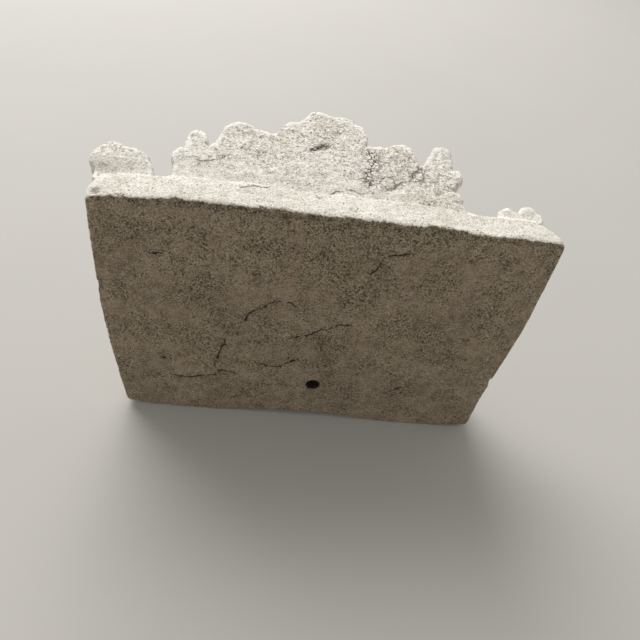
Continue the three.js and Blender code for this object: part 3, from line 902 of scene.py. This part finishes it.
def roughen(form, sizes, rng):
    """Unevenness of the skin: slow swells, crumbled arrises, flakes and coarse sand."""
    band = np.nonzero(np.abs(form.value) < 5)
    points = form.LOW + np.stack(band, axis=1) * form.step
    grain = Grain(sizes.seed)
    x, d, z = points.T
    plan = out_of_outline(sizes, x, z)
    on_back = np.clip((4 - d) / 3, 0, 1)
    on_top = np.clip((z - sizes.height / 2 + 6) / 6, 0, 1)
    on_slab = d < sizes.thickness + 4
    change = sum(high * grain(points + shift, wide) for high, shift, wide in SWELLS)
    change += on_top * 0.9 * grain(points + 61, 24)
    change += on_top * (0.5 * grain(points + 31, 7) + 0.3 * grain(points + 11, 3.2))
    change += on_top * 0.45 * grain(points * (0.35, 1, 1) + 17, 5)
    crease = np.abs(beside_lines(x, d, CREASES))
    change += on_top * 1.5 * np.exp(-((crease / CREASE_WIDTH) ** 2))
    change += 0.55 * on_back
    # A front arris counts only where no relief stands on it
    ahead = form.sample(points + (0, 8, 0)) < 0
    to_front = np.where(ahead, 99, np.abs(d - sizes.thickness))
    to_arris = np.hypot(plan, np.minimum(np.abs(d), to_front))
    worn = np.exp(-((to_arris / ARRIS_WEAR) ** 2)) * on_slab
    ragged = 0.2 + 0.9 * grain(points + 53, 17) + 0.9 * grain(points + 91, 4.1)
    change += worn * np.maximum(ragged, 0) * (0.6 + on_top)
    # Flakes in the top side: cells at their own depths
    at, half = np.array(FLAKES["at"]), np.array(FLAKES["half"])
    share = np.hypot((x - at[0]) / half[0], (d - at[1]) / half[1])
    inside = (share < 1) & (z > sizes.height / 2)
    seeds = at + half * rng.uniform(-1, 1, (FLAKES["count"], 2))
    drops = rng.uniform(0, FLAKES["drop"], FLAKES["count"])
    wander = 2.5 * np.stack([grain(points[inside] + 9, 8), grain(points[inside] + 47, 8)], axis=1)
    places = points[inside][:, :2] + wander
    nearest = np.argmin(((places[:, None] - seeds) ** 2).sum(2), axis=1)
    change[inside] += drops[nearest] * np.clip((1 - share[inside]) * 4, 0, 1)
    form.value[band] += change.astype(np.float32)


# Meshing: one vertex in each cell that the skin passes through, and one quad for each knot line it cuts.


def skin_of(form):
    inside = form.value < 0
    corners = [np.array(corner) for corner in np.ndindex(2, 2, 2)]
    count = np.zeros([n - 1 for n in inside.shape], dtype=np.uint8)
    for a, b, c in corners:
        count += inside[a : a + count.shape[0], b : b + count.shape[1], c : c + count.shape[2]]
    active = (count > 0) & (count < 8)
    cells = np.argwhere(active)
    index = np.full(active.shape, -1, dtype=np.int64)
    index[active] = np.arange(len(cells))
    values = np.stack([form.value[tuple((cells + corner).T)] for corner in corners], axis=1)
    total, hits = np.zeros((len(cells), 3)), np.zeros(len(cells))
    for a, one in enumerate(corners):
        for b, other in enumerate(corners):
            if b <= a or np.abs(one - other).sum() != 1:
                continue
            crossed = (values[:, a] < 0) != (values[:, b] < 0)
            near, far = values[crossed, a], values[crossed, b]
            share = (near / (near - far))[:, None]
            total[crossed] += one + share * (other - one)
            hits[crossed] += 1
    points = form.LOW + (cells + total / hits[:, None]) * form.step
    quads = []
    for axis in range(3):
        step = np.eye(3, dtype=int)
        u, v = step[(axis + 1) % 3], step[(axis + 2) % 3]
        lower = np.take(inside, range(inside.shape[axis] - 1), axis=axis)
        upper = np.take(inside, range(1, inside.shape[axis]), axis=axis)
        knots = np.argwhere(lower != upper)
        limit = np.array(active.shape)
        knots = knots[((knots - u - v >= 0) & (knots < limit)).all(axis=1)]
        quad = np.stack([index[tuple((knots - move).T)] for move in (0 * u, u, u + v, v)], axis=1)
        # Depth runs against Y, so a skin that faces up the axis is wound the other way round.
        forward = inside[tuple(knots.T)]
        quad[forward] = quad[forward][:, ::-1]
        quads.append(quad)
    return points, np.concatenate(quads)


def outer_skin(points, quads):
    """Keeps the largest closed skin, without the gaps shut inside the stone and the loose crumbs."""
    label = np.arange(len(points))
    before = None
    while before is None or (label != before).any():
        before = label.copy()
        lowest = label[quads].min(axis=1)
        np.minimum.at(label, quads.ravel(), np.repeat(lowest, 4))
        label = label[label]
    names, counts = np.unique(label, return_counts=True)
    kept = label == names[np.argmax(counts)]
    number = np.cumsum(kept) - 1
    return points[kept], number[quads[kept[quads[:, 0]]]]


def carve(sizes):
    """The whole field with its wear, and its values before the wear."""
    form = Form(sizes.grain * (1))
    add_core(form)
    add_mane(form)
    add_crown(form, sizes)
    form.add(crown_core(sizes), 6)
    add_face(form)
    add_lids_and_teeth(form)
    add_palmettes(form, sizes)
    trim_relief(form, sizes)
    form.add(slab_shape(sizes), 1.5)
    cut_bore(form, sizes)
    whole = form.value.copy()
    rng = np.random.default_rng(sizes.seed)
    for chip in CHIPS:
        form.cut(mass(chip["at"], chip["half"], roll=rng.uniform(-20, 20)), 1.0, margin=2)
    pit_skin(form, rng)
    roughen(form, sizes, rng)
    return form, whole


def build_skin(sizes):
    sizes = in_millimetres(sizes)
    form, whole = carve(sizes)
    points, quads = outer_skin(*skin_of(form))
    mesh = bpy.data.meshes.new(PIECE)
    mesh.from_pydata((points * (MM, -MM, MM)).tolist(), [], quads.tolist())
    piece = bpy.data.objects.new(PIECE, mesh)
    bpy.context.scene.collection.objects.link(piece)
    thin = piece.modifiers.new("Thin out", "DECIMATE")
    thin.ratio = min(1.0, sizes.faces / (2 * len(quads)))
    graph = bpy.context.evaluated_depsgraph_get()
    final = bpy.data.meshes.new_from_object(piece.evaluated_get(graph))
    piece.modifiers.clear()
    piece.data = final
    bpy.data.meshes.remove(mesh)
    low, high = np.array(CAD_BOX[0]), np.array(CAD_BOX[1])
    places = np.empty(len(final.vertices) * 3)
    final.vertices.foreach_get("co", places)
    places = np.clip(places.reshape(-1, 3), low, high)
    final.vertices.foreach_set("co", places.ravel())
    final.update()
    final.name = PIECE
    for polygon in final.polygons:
        polygon.use_smooth = True
    record_wear_and_shade(final, form, whole, places, sizes)
    return piece


# Cracks of the back, as places across and up.
BACK_CRACKS = [
    [(89, -1), (74, 23), (56, 42), (37, 45), (29, 39)],
    [(170, -96), (147, -97), (130, -93), (115, -87), (105, -80), (91, -84)],
    [(105, -24), (108, -40), (116, -66), (112, -81)],
    [(26, -11), (7, -2), (-12, 6), (-23, 15), (-34, 20)],
    [(-43, 91), (-58, 116), (-78, 122)],
    [(65, -58), (52, -63), (37, -63), (18, -46)],
    [(178, 92), (165, 92)],
    [(178, -63), (167, -64)],
    [(-103, -95), (-117, -85)],
]
# Parts of the back with an open, sooty grain: middle across and up, then half width and half height.
SOOTY = [
    (128, 50, 22, 26),
    (150, -22, 34, 20),
    (98, -8, 12, 12),
    (70, -60, 26, 8),
    (10, 140, 60, 10),
    (-75, 142, 60, 9),
    (40, 110, 60, 16),
    (-40, 60, 26, 22),
    (-120, 20, 30, 18),
    (14, -50, 20, 8),
    (-8, 90, 22, 20),
]
# Cracks of the top side, as places across and forward. Two of them run round a flake.
TOP_CRACKS = [
    [(136, 70), (126, 73), (117, 78)],
    [(91, 31), (82, 36), (66, 40)],
    [(4, 48), (-15, 51), (-37, 53)],
    [(-50, 75), (-51, 82), (-57, 85), (-64, 74), (-64, 67), (-56, 63), (-50, 72)],
    [(-77, 76), (-85, 91), (-93, 100), (-97, 90), (-95, 78), (-87, 78), (-77, 75)],
    [(-64, 65), (-71, 75), (-78, 78)],
    [(25, 109), (16, 113), (8, 118)],
]


def beside_lines(across, along, lines):
    """The gap to the nearest of some drawn lines, negative on one side of it."""
    best = np.full(across.shape, 99.0)
    side = np.ones(across.shape)
    for line in lines:
        for (a, b), (c, d) in zip(line, line[1:]):
            wide, high = c - a, d - b
            share = np.clip(((across - a) * wide + (along - b) * high) / (wide**2 + high**2), 0, 1)
            gap = np.hypot(across - a - share * wide, along - b - share * high)
            turn = np.sign(wide * (along - b) - high * (across - a))
            side = np.where(gap < best, turn, side)
            best = np.minimum(gap, best)
    return best * side


# How far the drawn cracks and patches wander from their lines, and over what length.
WANDER = {"by": 3.5, "over": 10}


def record_wear_and_shade(mesh, form, whole, places, sizes):
    """Keeps on each vertex, in millimetres or as a share, the worn places, cracks and patches for the finish
    to draw on, and the openness, grooves and edges that it turns into painted shade and painted highlight.
    """
    normals = np.empty(len(mesh.vertices) * 3)
    mesh.vertices.foreach_get("normal", normals)
    normals = normals.reshape(-1, 3) * (1, -1, 1)
    points = places / MM * (1, -1, 1)
    open_near = form.sample(points + normals * 7) / 7
    open_far = form.sample(points + normals * 16) / 16
    edge = 1 + form.sample(points - normals * 6) / 6
    worn, form.value = form.value, whole
    damage = np.maximum(-form.sample(points), 0)
    form.value = worn
    grain = Grain(sizes.seed + 1)
    sway = np.stack([grain(points + shift, WANDER["over"]) for shift in (9, 47, 83)], axis=1)
    x, d, z = (points + WANDER["by"] * sway).T
    near_back, height = points[:, 1] < 8, points[:, 2] - sizes.height / 2
    in_top = np.where(height > -8, beside_lines(x, d, TOP_CRACKS), 99)
    crack = np.where(near_back, beside_lines(x, z, BACK_CRACKS), in_top)
    at, half = np.array(FLAKES["at"]), np.array(FLAKES["half"])
    patch = 1 - np.hypot((x - at[0]) / half[0], (d - at[1]) / half[1])
    patch = np.where(height > -4, np.clip(patch * 4, 0, 1), 0)
    # The bore's wall is marked as fully enclosed, so that the finish paints it dark as shade, and some parts
    # of the back have an open, sooty grain
    in_bore = np.hypot(points[:, 0] - BORE_AT[0], points[:, 2] - BORE_AT[1]) < sizes.bore / 2 + 1
    in_bore &= (points[:, 1] > 1.2) & (points[:, 1] < 90)
    open_near[in_bore] = open_far[in_bore] = 0.1
    sooty = np.zeros(len(points))
    for across, up, wide, high in SOOTY:
        sooty = np.maximum(sooty, 1.3 - np.hypot((x - across) / wide, (z - up) / high))
    crumbs = np.max([1.4 - np.abs(beside_lines(x, d, [line])) / reach for reach, line in CRUMBS], axis=0)
    inset = np.where(near_back, -out_of_outline(sizes, points[:, 0], points[:, 2]), -5)
    wear_and_shade = {
        "inset": np.clip(inset, -5, 20),
        "crumbs": np.where(height > -4, np.clip(crumbs, 0, 1), 0),
        "grooves": np.clip(1 - form.sample(points + normals * 3.5) / 3.5, 0, 1),
        "sooty": np.where(near_back, np.clip(sooty * 1.6, 0, 1), 0),
        "damage": damage,
        "openness": np.clip((open_near + open_far) / 2, 0, 1.2),
        "edge": np.clip(edge, 0, 1),
        "crack_side": np.clip(crack, -30, 30),
        "crack_gap": np.clip(np.abs(crack), 0, 30),
        "flaking": patch,
    }
    for name, values in wear_and_shade.items():
        layer = mesh.attributes.new(name, "FLOAT", "POINT")
        layer.data.foreach_set("value", values.astype(np.float32))


# Finish


def add_node(tree, kind, settings, inputs, out=0):
    """Adds a node with its settings. An input is another node's output or a plain value."""
    node = tree.nodes.new(kind)
    for name, value in settings.items():
        setattr(node, name, value)
    for name, value in inputs.items():
        if isinstance(value, bpy.types.NodeSocket):
            tree.links.new(value, node.inputs[name])
        else:
            node.inputs[name].default_value = value
    return node.outputs[out] if len(node.outputs) else node


def per_mm(size):
    """The scale of a pattern whose cells are so many millimetres wide."""
    return 1000 / size


NOISE, CELLS, RANGE = "ShaderNodeTexNoise", "ShaderNodeTexVoronoi", "ShaderNodeMapRange"
MATH, MIX, BUMP = "ShaderNodeMath", "ShaderNodeMix", "ShaderNodeBump"
SMOOTH, COLOR = {"interpolation_type": "SMOOTHSTEP"}, {"data_type": "RGBA"}
TO_EDGE = {"feature": "DISTANCE_TO_EDGE"}
PLUS, MINUS, TIMES, OVER, MOST, UNSIGNED = (
    {"operation": name} for name in ("ADD", "SUBTRACT", "MULTIPLY", "DIVIDE", "MAXIMUM", "ABSOLUTE")
)


def empty_material(name):
    """A material with no nodes yet, and what adds them to it."""
    material = bpy.data.materials.new(name)
    material.use_nodes = True
    material.node_tree.nodes.clear()
    return material, partial(add_node, material.node_tree)


# The worn places that the skin keeps on its vertices, and the openness, grooves and edges that the finish
# turns into painted shade and painted highlight.
WEAR_AND_SHADE = (
    "inset", "crumbs", "grooves", "sooty", "damage", "openness", "edge", "crack_side", "crack_gap", "flaking"
)
# Noise in the stone: the width of its lumps in millimetres, its detail and its roughness. Real sand grains
# are under 1 mm, and are drawn 1.7 mm wide so that they show.
PATTERNS = {
    "grains": (1.7, 2.0, 0.7),
    "clouds": (60, 3.0, 0.55),
    "blotches": (13, 4.0, 0.65),
    "fraying": (8, 4.0, 0.7),
    "wander": (5, 3.0, 0.65),
    "clumps": (20, 2.0, 0.5),
    "patches": (34, 2.0, 0.55),
    "pits": (3.8, 3.0, 0.7),
    "crust": (3.6, 3.0, 0.75),
    "lumps": (6, 4.0, 0.65),
}


def cast_stone(finish):
    """Cast stone: sand and white cement packed into a mould, then left outdoors.

    It gives the eye a matt, pale and slightly warm ground, speckled with darker sand and open pits where the
    mix didn't fill the mould. Grime of a brown tone stays in pits, chips and cracks; hollows, grooves and the
    bore are darkened with painted shade, and ridges are lightened with a painted highlight. The back stood
    against a wall and kept its open grain; its darker, browner tone is partly its own and partly painted
    shade.
    """
    material, node = empty_material("cast_stone_weathered")
    stone, sand, grime_and_shade, deep = ((*c, 1.0) for c in (finish.stone, finish.sand, finish.grime_and_shade, finish.deep))
    back, stain, lime_and_highlight, earth = ((*c, 1.0) for c in (finish.back, finish.stain, finish.lime_and_highlight, finish.earth))
    coord = node("ShaderNodeTexCoord", {}, {}, "Object")
    x, y, z = (node("ShaderNodeSeparateXYZ", {}, {0: coord}, axis) for axis in range(3))
    depth = node(MATH, TIMES, {0: y, 1: -1.0})
    wear_and_shade = {name: node("ShaderNodeAttribute", {"attribute_name": name}, {}, "Fac") for name in WEAR_AND_SHADE}
    noise = {}
    for name, (size, detail, harshness) in PATTERNS.items():
        inputs = {"Vector": coord, "Scale": per_mm(size), "Detail": detail, "Roughness": harshness}
        noise[name] = node(NOISE, {}, inputs)
    dark_grains = node(RANGE, SMOOTH, {0: noise["grains"], 1: 0.5, 2: 0.36})
    pale_grains = node(RANGE, SMOOTH, {0: noise["grains"], 1: 0.52, 2: 0.68})
    clouds = node(RANGE, SMOOTH, {0: noise["clouds"], 1: 0.35, 2: 0.68})
    blotches = node(RANGE, SMOOTH, {0: noise["blotches"], 1: 0.4, 2: 0.7})

    # Faces: the back up to a ragged line on its arris, about 1 mm in, and the top side
    ragged = node(RANGE, {}, {0: noise["fraying"], 3: -3.0, 4: 3.0})
    behind = node(MATH, PLUS, {0: wear_and_shade["inset"], 1: ragged})
    behind = node(RANGE, SMOOTH, {0: behind, 1: 0.5, 2: 1.9})
    top_side = node(RANGE, SMOOTH, {0: z, 1: 0.148, 2: 0.155})
    beyond = node(RANGE, {}, {0: clouds, 3: -0.012, 4: 0.012})
    beyond = node(MATH, PLUS, {0: depth, 1: beyond})
    beyond = node(RANGE, SMOOTH, {0: beyond, 1: 0.036, 2: 0.07})
    top_side = node(MATH, TIMES, {0: top_side, 1: beyond})

    # Cracks: dark lines 1 to 3 mm wide, broken and wandering at the scale of the coarse sand
    wander = node(RANGE, {}, {0: noise["wander"], 3: -2.4, 4: 2.4})
    line = node(MATH, PLUS, {0: wear_and_shade["crack_side"], 1: wander})
    line = node(MATH, UNSIGNED, {0: line})
    thickness = node(RANGE, {}, {0: blotches, 3: 0.8, 4: 2.6})
    line = node(MATH, OVER, {0: line, 1: thickness})
    line = node(RANGE, SMOOTH, {0: line, 1: 1.0, 2: 0.3})
    near = node(RANGE, SMOOTH, {0: wear_and_shade["crack_gap"], 1: 4.0, 2: 2.5})
    cracks = node(MATH, TIMES, {0: line, 1: near})
    strength = node(RANGE, {}, {0: behind, 3: 0.7, 4: 1.0})
    cracks = node(MATH, TIMES, {0: cracks, 1: strength})

    # Flaking skin of the top side, in one worn patch: joints of flakes 19 mm wide, and crumbs 6.5 mm wide
    warp = {"Vector": coord, "Scale": per_mm(8), "Detail": 3.0, "Roughness": 0.6}
    warp = node(NOISE, {}, warp, "Color")
    warp = node(MIX, {"data_type": "VECTOR"}, {0: 0.009, 4: coord, 5: warp}, 1)
    large, small = (node(CELLS, TO_EDGE, {"Vector": warp, "Scale": per_mm(size)}) for size in (19, 6.5))
    large = node(RANGE, SMOOTH, {0: large, 1: 0.04, 2: 0.012})
    small = node(RANGE, SMOOTH, {0: small, 1: 0.11, 2: 0.03})
    small = node(MATH, TIMES, {0: small, 1: wear_and_shade["crumbs"]})
    kept = node(RANGE, SMOOTH, {0: noise["clumps"], 1: 0.42, 2: 0.54, 4: 0.3})
    large = node(MATH, TIMES, {0: large, 1: kept})
    large = node(MATH, TIMES, {0: large, 1: wear_and_shade["flaking"]})
    joints = node(MATH, MOST, {0: large, 1: small})
    cracks = node(MATH, MOST, {0: cracks, 1: joints})

    # Pits: open grain in patches, closer in the sooty parts of the back, round cracks and under its top edge
    patches = node(RANGE, SMOOTH, {0: noise["patches"], 1: 0.38, 2: 0.62})
    near_crack = node(RANGE, SMOOTH, {0: wear_and_shade["crack_gap"], 1: 10.0, 2: 1.0})
    low_edge = node(RANGE, {}, {0: clouds, 3: 0.128, 4: 0.146})
    under_edge = node(RANGE, SMOOTH, {0: z, 1: low_edge, 2: 0.151})
    under_edge = node(MATH, TIMES, {0: under_edge, 1: behind})
    open_parts = node(MATH, TIMES, {0: patches, 1: 0.8})
    open_parts = node(MATH, MOST, {0: open_parts, 1: wear_and_shade["sooty"]})
    open_grain = node(MATH, MOST, {0: open_parts, 1: near_crack})
    open_grain = node(MATH, MOST, {0: open_grain, 1: under_edge})
    limit = node(RANGE, {}, {0: open_grain, 3: 0.32, 4: 0.4})
    more = node(MATH, MOST, {0: behind, 1: top_side})
    more = node(MATH, TIMES, {0: more, 1: 0.04})
    limit = node(MATH, PLUS, {0: limit, 1: more})
    pits = node(MATH, MINUS, {0: limit, 1: noise["pits"]})
    pits = node(RANGE, SMOOTH, {0: pits, 1: -0.01, 2: 0.07})
    holes = node(CELLS, {}, {"Vector": coord, "Scale": per_mm(7), "Randomness": 1.0})
    holes = node(RANGE, SMOOTH, {0: holes, 1: 0.15, 2: 0.08})
    pits = node(MATH, MOST, {0: pits, 1: holes})

    # The top side has weathered hardest: brown in its low spots, lime on its high ones
    brown = node(RANGE, SMOOTH, {0: noise["crust"], 1: 0.47, 2: 0.34, 4: 0.85})
    held = node(RANGE, {}, {0: patches, 3: 0.45, 4: 0.9})
    brown = node(MATH, TIMES, {0: brown, 1: held})
    brown = node(MATH, TIMES, {0: brown, 1: top_side})
    drift = node(MATH, TIMES, {0: clouds, 1: top_side})
    drift = node(MATH, TIMES, {0: drift, 1: 0.16})
    limed = node(RANGE, SMOOTH, {0: noise["crust"], 1: 0.49, 2: 0.64, 4: 0.9})
    limed = node(MATH, TIMES, {0: limed, 1: top_side})
    pale = node(MATH, TIMES, {0: pale_grains, 1: 0.7})
    pale = node(MATH, MOST, {0: pale, 1: limed})

    # Tones of the weathered faces, each with the share that it covers of those before it
    ground = stone
    for share, tone in (
        (node(MATH, TIMES, {0: clouds, 1: 0.22}), sand),
        (node(MATH, TIMES, {0: blotches, 1: 0.45}), sand),
        (node(RANGE, SMOOTH, {0: ragged, 1: -0.2, 2: 1.2, 4: 0.4}), sand),
        (node(MATH, TIMES, {0: dark_grains, 1: 0.4}), grime_and_shade),
        (drift, earth),
        (brown, earth),
        (pale, lime_and_highlight),
    ):
        ground = node(MIX, COLOR, {0: share, 6: ground, 7: tone}, 2)

    # Tones of the back in the same way, the last of them one faint rusty run, 12 mm wide
    run = node(MATH, MINUS, {0: x, 1: 0.034})
    run = node(MATH, UNSIGNED, {0: run})
    run = node(RANGE, SMOOTH, {0: run, 1: 0.010, 2: 0.002})
    length = node(RANGE, SMOOTH, {0: z, 1: 0.01, 2: 0.06})
    run = node(MATH, TIMES, {0: run, 1: length})
    open_share = node(RANGE, {}, {0: open_grain, 3: 0.35, 4: 0.8})
    under = back
    for share, tone in (
        (node(RANGE, {}, {0: open_parts, 3: 0.3, 4: 0.0}), stain),
        (node(MATH, TIMES, {0: clouds, 1: 0.25}), grime_and_shade),
        (node(MATH, TIMES, {0: blotches, 1: 0.3}), grime_and_shade),
        (node(MATH, TIMES, {0: pale_grains, 1: 0.32}), stone),
        (node(MATH, TIMES, {0: dark_grains, 1: open_share}), deep),
        (node(MATH, TIMES, {0: run, 1: 0.45}), stain),
    ):
        under = node(MIX, COLOR, {0: share, 6: under, 7: tone}, 2)
    # Painted shade: the back's darker tone is partly its own browner stone and partly shade painted in
    color = node(MIX, COLOR, {0: behind, 6: ground, 7: under}, 2)

    # Grime in chips and under the back's top edge, painted shade in hollows and grooves in the same brown,
    # and painted shade in the bore
    most_worn = node(RANGE, {}, {0: top_side, 3: 0.5, 4: 0.22})
    worn = node(RANGE, SMOOTH, {0: wear_and_shade["damage"], 1: 0.8, 2: 3.2, 4: most_worn})
    # Painted shade: the less open a place is, or the deeper in a groove, the darker it is painted
    hollow_shade = node(RANGE, SMOOTH, {0: wear_and_shade["openness"], 1: 0.9, 2: 0.25, 4: 0.7})
    grooves = node(RANGE, SMOOTH, {0: wear_and_shade["grooves"], 1: 0.1, 2: 0.55, 4: 0.6})
    hollow_shade = node(MATH, MOST, {0: hollow_shade, 1: grooves})
    low_down = node(RANGE, SMOOTH, {0: z, 1: 0.152, 2: 0.12, 3: 0.25, 4: 1.0})
    hollow_shade = node(MATH, TIMES, {0: hollow_shade, 1: low_down})
    dirt_and_shade = node(MATH, MOST, {0: worn, 1: hollow_shade})
    band = node(MATH, TIMES, {0: under_edge, 1: 0.4})
    dirt_and_shade = node(MATH, MOST, {0: dirt_and_shade, 1: band})
    ragged_dirt = node(RANGE, {}, {0: blotches, 3: 0.6, 4: 1.0})
    dirt_and_shade = node(MATH, TIMES, {0: dirt_and_shade, 1: ragged_dirt})
    # Painted shade: the bore's wall and the most enclosed places less than about 90 mm from the back are
    # painted nearly black
    painted_deep_shade = node(RANGE, SMOOTH, {0: wear_and_shade["openness"], 1: 0.15, 2: 0.11, 4: 0.95})
    in_slab = node(RANGE, SMOOTH, {0: depth, 1: 0.095, 2: 0.08})
    painted_deep_shade = node(MATH, TIMES, {0: painted_deep_shade, 1: in_slab})

    # Ridges and rims get a painted highlight in the palest tone; pits and cracks hold the darkest brown, and
    # the bore and the most enclosed places get dark painted shade
    rim = node(RANGE, SMOOTH, {0: wear_and_shade["edge"], 1: 0.15, 2: 0.5, 4: 0.65})
    rim_highlight = node(MATH, MINUS, {0: rim, 1: behind})
    rim_highlight = node(MATH, MOST, {0: rim_highlight, 1: 0.0})
    pit_share = node(RANGE, {}, {0: behind, 3: 0.5, 4: 0.8})
    crack_and_shade_tone = node(MIX, COLOR, {0: behind, 6: grime_and_shade, 7: deep}, 2)
    cracks_and_deep_shade = node(MATH, TIMES, {0: cracks, 1: 0.95})
    cracks_and_deep_shade = node(MATH, MOST, {0: cracks_and_deep_shade, 1: painted_deep_shade})
    for share, tone in (
        (dirt_and_shade, grime_and_shade),
        (rim_highlight, lime_and_highlight),
        (node(MATH, TIMES, {0: pits, 1: pit_share}), grime_and_shade),
        (cracks_and_deep_shade, crack_and_shade_tone),
    ):
        color = node(MIX, COLOR, {0: share, 6: color, 7: tone}, 2)

    # Relief of the skin: sand, coarse lumps, the top side's crust, then pits and cracks 1 mm deep
    crust = node(MATH, TIMES, {0: noise["crust"], 1: top_side})
    holes = node(MATH, MOST, {0: pits, 1: cracks})
    normal = node(BUMP, {}, {"Strength": 0.5, "Distance": 0.0006, "Height": noise["grains"]})
    for height, strength, distance, settings in (
        (noise["lumps"], 0.6, 0.002, {}),
        (crust, 0.7, 0.0016, {}),
        (holes, 0.8, 0.001, {"invert": True}),
    ):
        inputs = {"Strength": strength, "Distance": distance, "Height": height, "Normal": normal}
        normal = node(BUMP, settings, inputs)
    rough = node(RANGE, {}, {0: noise["grains"], 3: finish.roughness - 0.05, 4: finish.roughness + 0.05})
    shader = node(
        "ShaderNodeBsdfPrincipled",
        {},
        {"Base Color": color, "Roughness": rough, "Normal": normal, "IOR": 1.5, "Specular IOR Level": 0.3},
    )
    node("ShaderNodeOutputMaterial", {}, {"Surface": shader})
    return material


def painted_board(color):
    """Painted board, rolled on: plain and matt, with a faint cloudiness so that it isn't one flat tone."""
    material, node = empty_material("painted_board_matt")
    coord = node("ShaderNodeTexCoord", {}, {}, "Object")
    cloud = node(NOISE, {}, {"Vector": coord, "Scale": per_mm(400), "Detail": 2.0})
    darker = (*(c * 0.96 for c in color), 1.0)
    tone = node(MIX, COLOR, {0: cloud, 6: (*color, 1.0), 7: darker}, 2)
    shader = node("ShaderNodeBsdfPrincipled", {}, {"Base Color": tone, "Roughness": 0.8})
    node("ShaderNodeOutputMaterial", {}, {"Surface": shader})
    return material


def painted_board(color):
    """Painted board, rolled on: plain and matt, with a faint cloudiness so that it isn't one flat tone."""
    material = bpy.data.materials.new("painted_board_matt")
    material.use_nodes = True
    tree = material.node_tree
    tree.nodes.clear()
    node = partial(add_node, tree)
    coord = node("ShaderNodeTexCoord", {}, {}, "Object")
    cloud = node(NOISE, {}, {"Vector": coord, "Scale": per_mm(400), "Detail": 2.0})
    darker = (*(c * 0.96 for c in color), 1.0)
    tone = node(MIX, COLOR, {0: cloud, 6: (*color, 1.0), 7: darker}, 2)
    shader = node("ShaderNodeBsdfPrincipled", {}, {"Base Color": tone, "Roughness": 0.8})
    node("ShaderNodeOutputMaterial", {}, {"Surface": shader})
    return material


class LIONMASK_OT_cast_mask(bpy.types.Operator):
    """Carves the mask, meshes it and gives it its stone finish"""

    bl_idname = "lionmask.cast_mask"
    bl_label = "Cast the mask"

    def execute(self, context):
        scene = context.scene
        piece = build_skin(scene.lionmask_sizes)
        if not piece.data.vertices:
            raise RuntimeError("the carving left no skin to mesh")
        piece.data.materials.clear()
        piece.data.materials.append(cast_stone(scene.lionmask_finish))
        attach(piece, BODY)
        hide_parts(NODE)
        return {"FINISHED"}


FLOOR_REACH = 14.0
KEY_LIGHT = {"place": (2.2, -4.6, 5.0), "size": (6.0, 5.0)}
ROOM_COLOR = "#f6f5f3"
# Camera, measured against the slab's four back corners. Its axes are right, up and back, as unit vectors.
CAMERA_AT = (0.0486, 0.4156, 0.4171)
CAMERA_RIGHT = (-0.9919, -0.0009, 0.1271)
CAMERA_UP = (0.0924, -0.6920, 0.7159)


class LIONMASK_OT_studio(bpy.types.Operator):
    """Sets up the floor, the soft lights and the camera"""

    bl_idname = "lionmask.studio"
    bl_label = "Set up the studio"

    def execute(self, context):
        scene = context.scene
        look = scene.lionmask_studio
        self.add_floor(scene, look.floor)
        self.add_light(scene, "key_softbox", KEY_LIGHT["place"], KEY_LIGHT["size"], look.key)

        world = bpy.data.worlds.new("studio_room")
        world.use_nodes = True
        background = world.node_tree.nodes["Background"]
        background.inputs["Color"].default_value = (*linear(ROOM_COLOR), 1.0)
        background.inputs["Strength"].default_value = look.fill
        scene.world = world

        camera = bpy.data.objects.new("camera", bpy.data.cameras.new("camera"))
        camera.data.sensor_width = 36
        camera.data.lens = look.lens
        camera.data.clip_start = 0.01
        right, up = Vector(CAMERA_RIGHT).normalized(), Vector(CAMERA_UP)
        back = right.cross(up).normalized()
        up = back.cross(right)
        axes = Matrix((right, up, back)).transposed().to_4x4()
        camera.matrix_world = Matrix.Translation(CAMERA_AT) @ axes
        scene.collection.objects.link(camera)
        scene.camera = camera
        scene.view_settings.view_transform = "Standard"
        return {"FINISHED"}

    def add_floor(self, scene, color):
        low = CAD_BOX[0][2]
        corners = [(x * FLOOR_REACH, y * FLOOR_REACH, low) for x, y in ((-1, -1), (1, -1), (1, 1), (-1, 1))]
        mesh = bpy.data.meshes.new("studio_floor")
        mesh.from_pydata(corners, [], [(0, 1, 2, 3)])
        mesh.materials.append(painted_board(color))
        floor = bpy.data.objects.new("studio_floor", mesh)
        scene.collection.objects.link(floor)

    def add_light(self, scene, name, place, size, power):
        data = bpy.data.lights.new(name, "AREA")
        data.shape = "RECTANGLE"
        data.size, data.size_y = size
        data.energy = power
        light = bpy.data.objects.new(name, data)
        light.location = place
        light.rotation_euler = (-Vector(place)).to_track_quat("-Z", "Y").to_euler()
        scene.collection.objects.link(light)


class LIONMASK_PT_panel(bpy.types.Panel):
    bl_label = "Fountain mask"
    bl_idname = "LIONMASK_PT_panel"
    bl_space_type = "VIEW_3D"
    bl_region_type = "UI"
    bl_category = "Mask"

    def draw(self, context):
        for group in ("lionmask_sizes", "lionmask_finish", "lionmask_studio"):
            box = self.layout.box()
            owner = getattr(context.scene, group)
            for name in owner.bl_rna.properties.keys():
                if name not in ("rna_type", "name"):
                    box.prop(owner, name)
        self.layout.operator(LIONMASK_OT_cast_mask.bl_idname)
        self.layout.operator(LIONMASK_OT_studio.bl_idname)


CLASSES = (MaskSizes, StoneFinish, StudioLook, LIONMASK_OT_cast_mask, LIONMASK_OT_studio, LIONMASK_PT_panel)


def register():
    for item in CLASSES:
        bpy.utils.register_class(item)
    bpy.types.Scene.lionmask_sizes = PointerProperty(type=MaskSizes)
    bpy.types.Scene.lionmask_finish = PointerProperty(type=StoneFinish)
    bpy.types.Scene.lionmask_studio = PointerProperty(type=StudioLook)


def unregister():
    del bpy.types.Scene.lionmask_studio
    del bpy.types.Scene.lionmask_finish
    del bpy.types.Scene.lionmask_sizes
    for item in reversed(CLASSES):
        bpy.utils.unregister_class(item)


def main():
    register()
    bpy.ops.lionmask.cast_mask()
    bpy.ops.lionmask.studio()
    bpy.context.view_layer.update()


if __name__ == "__main__":
    main()
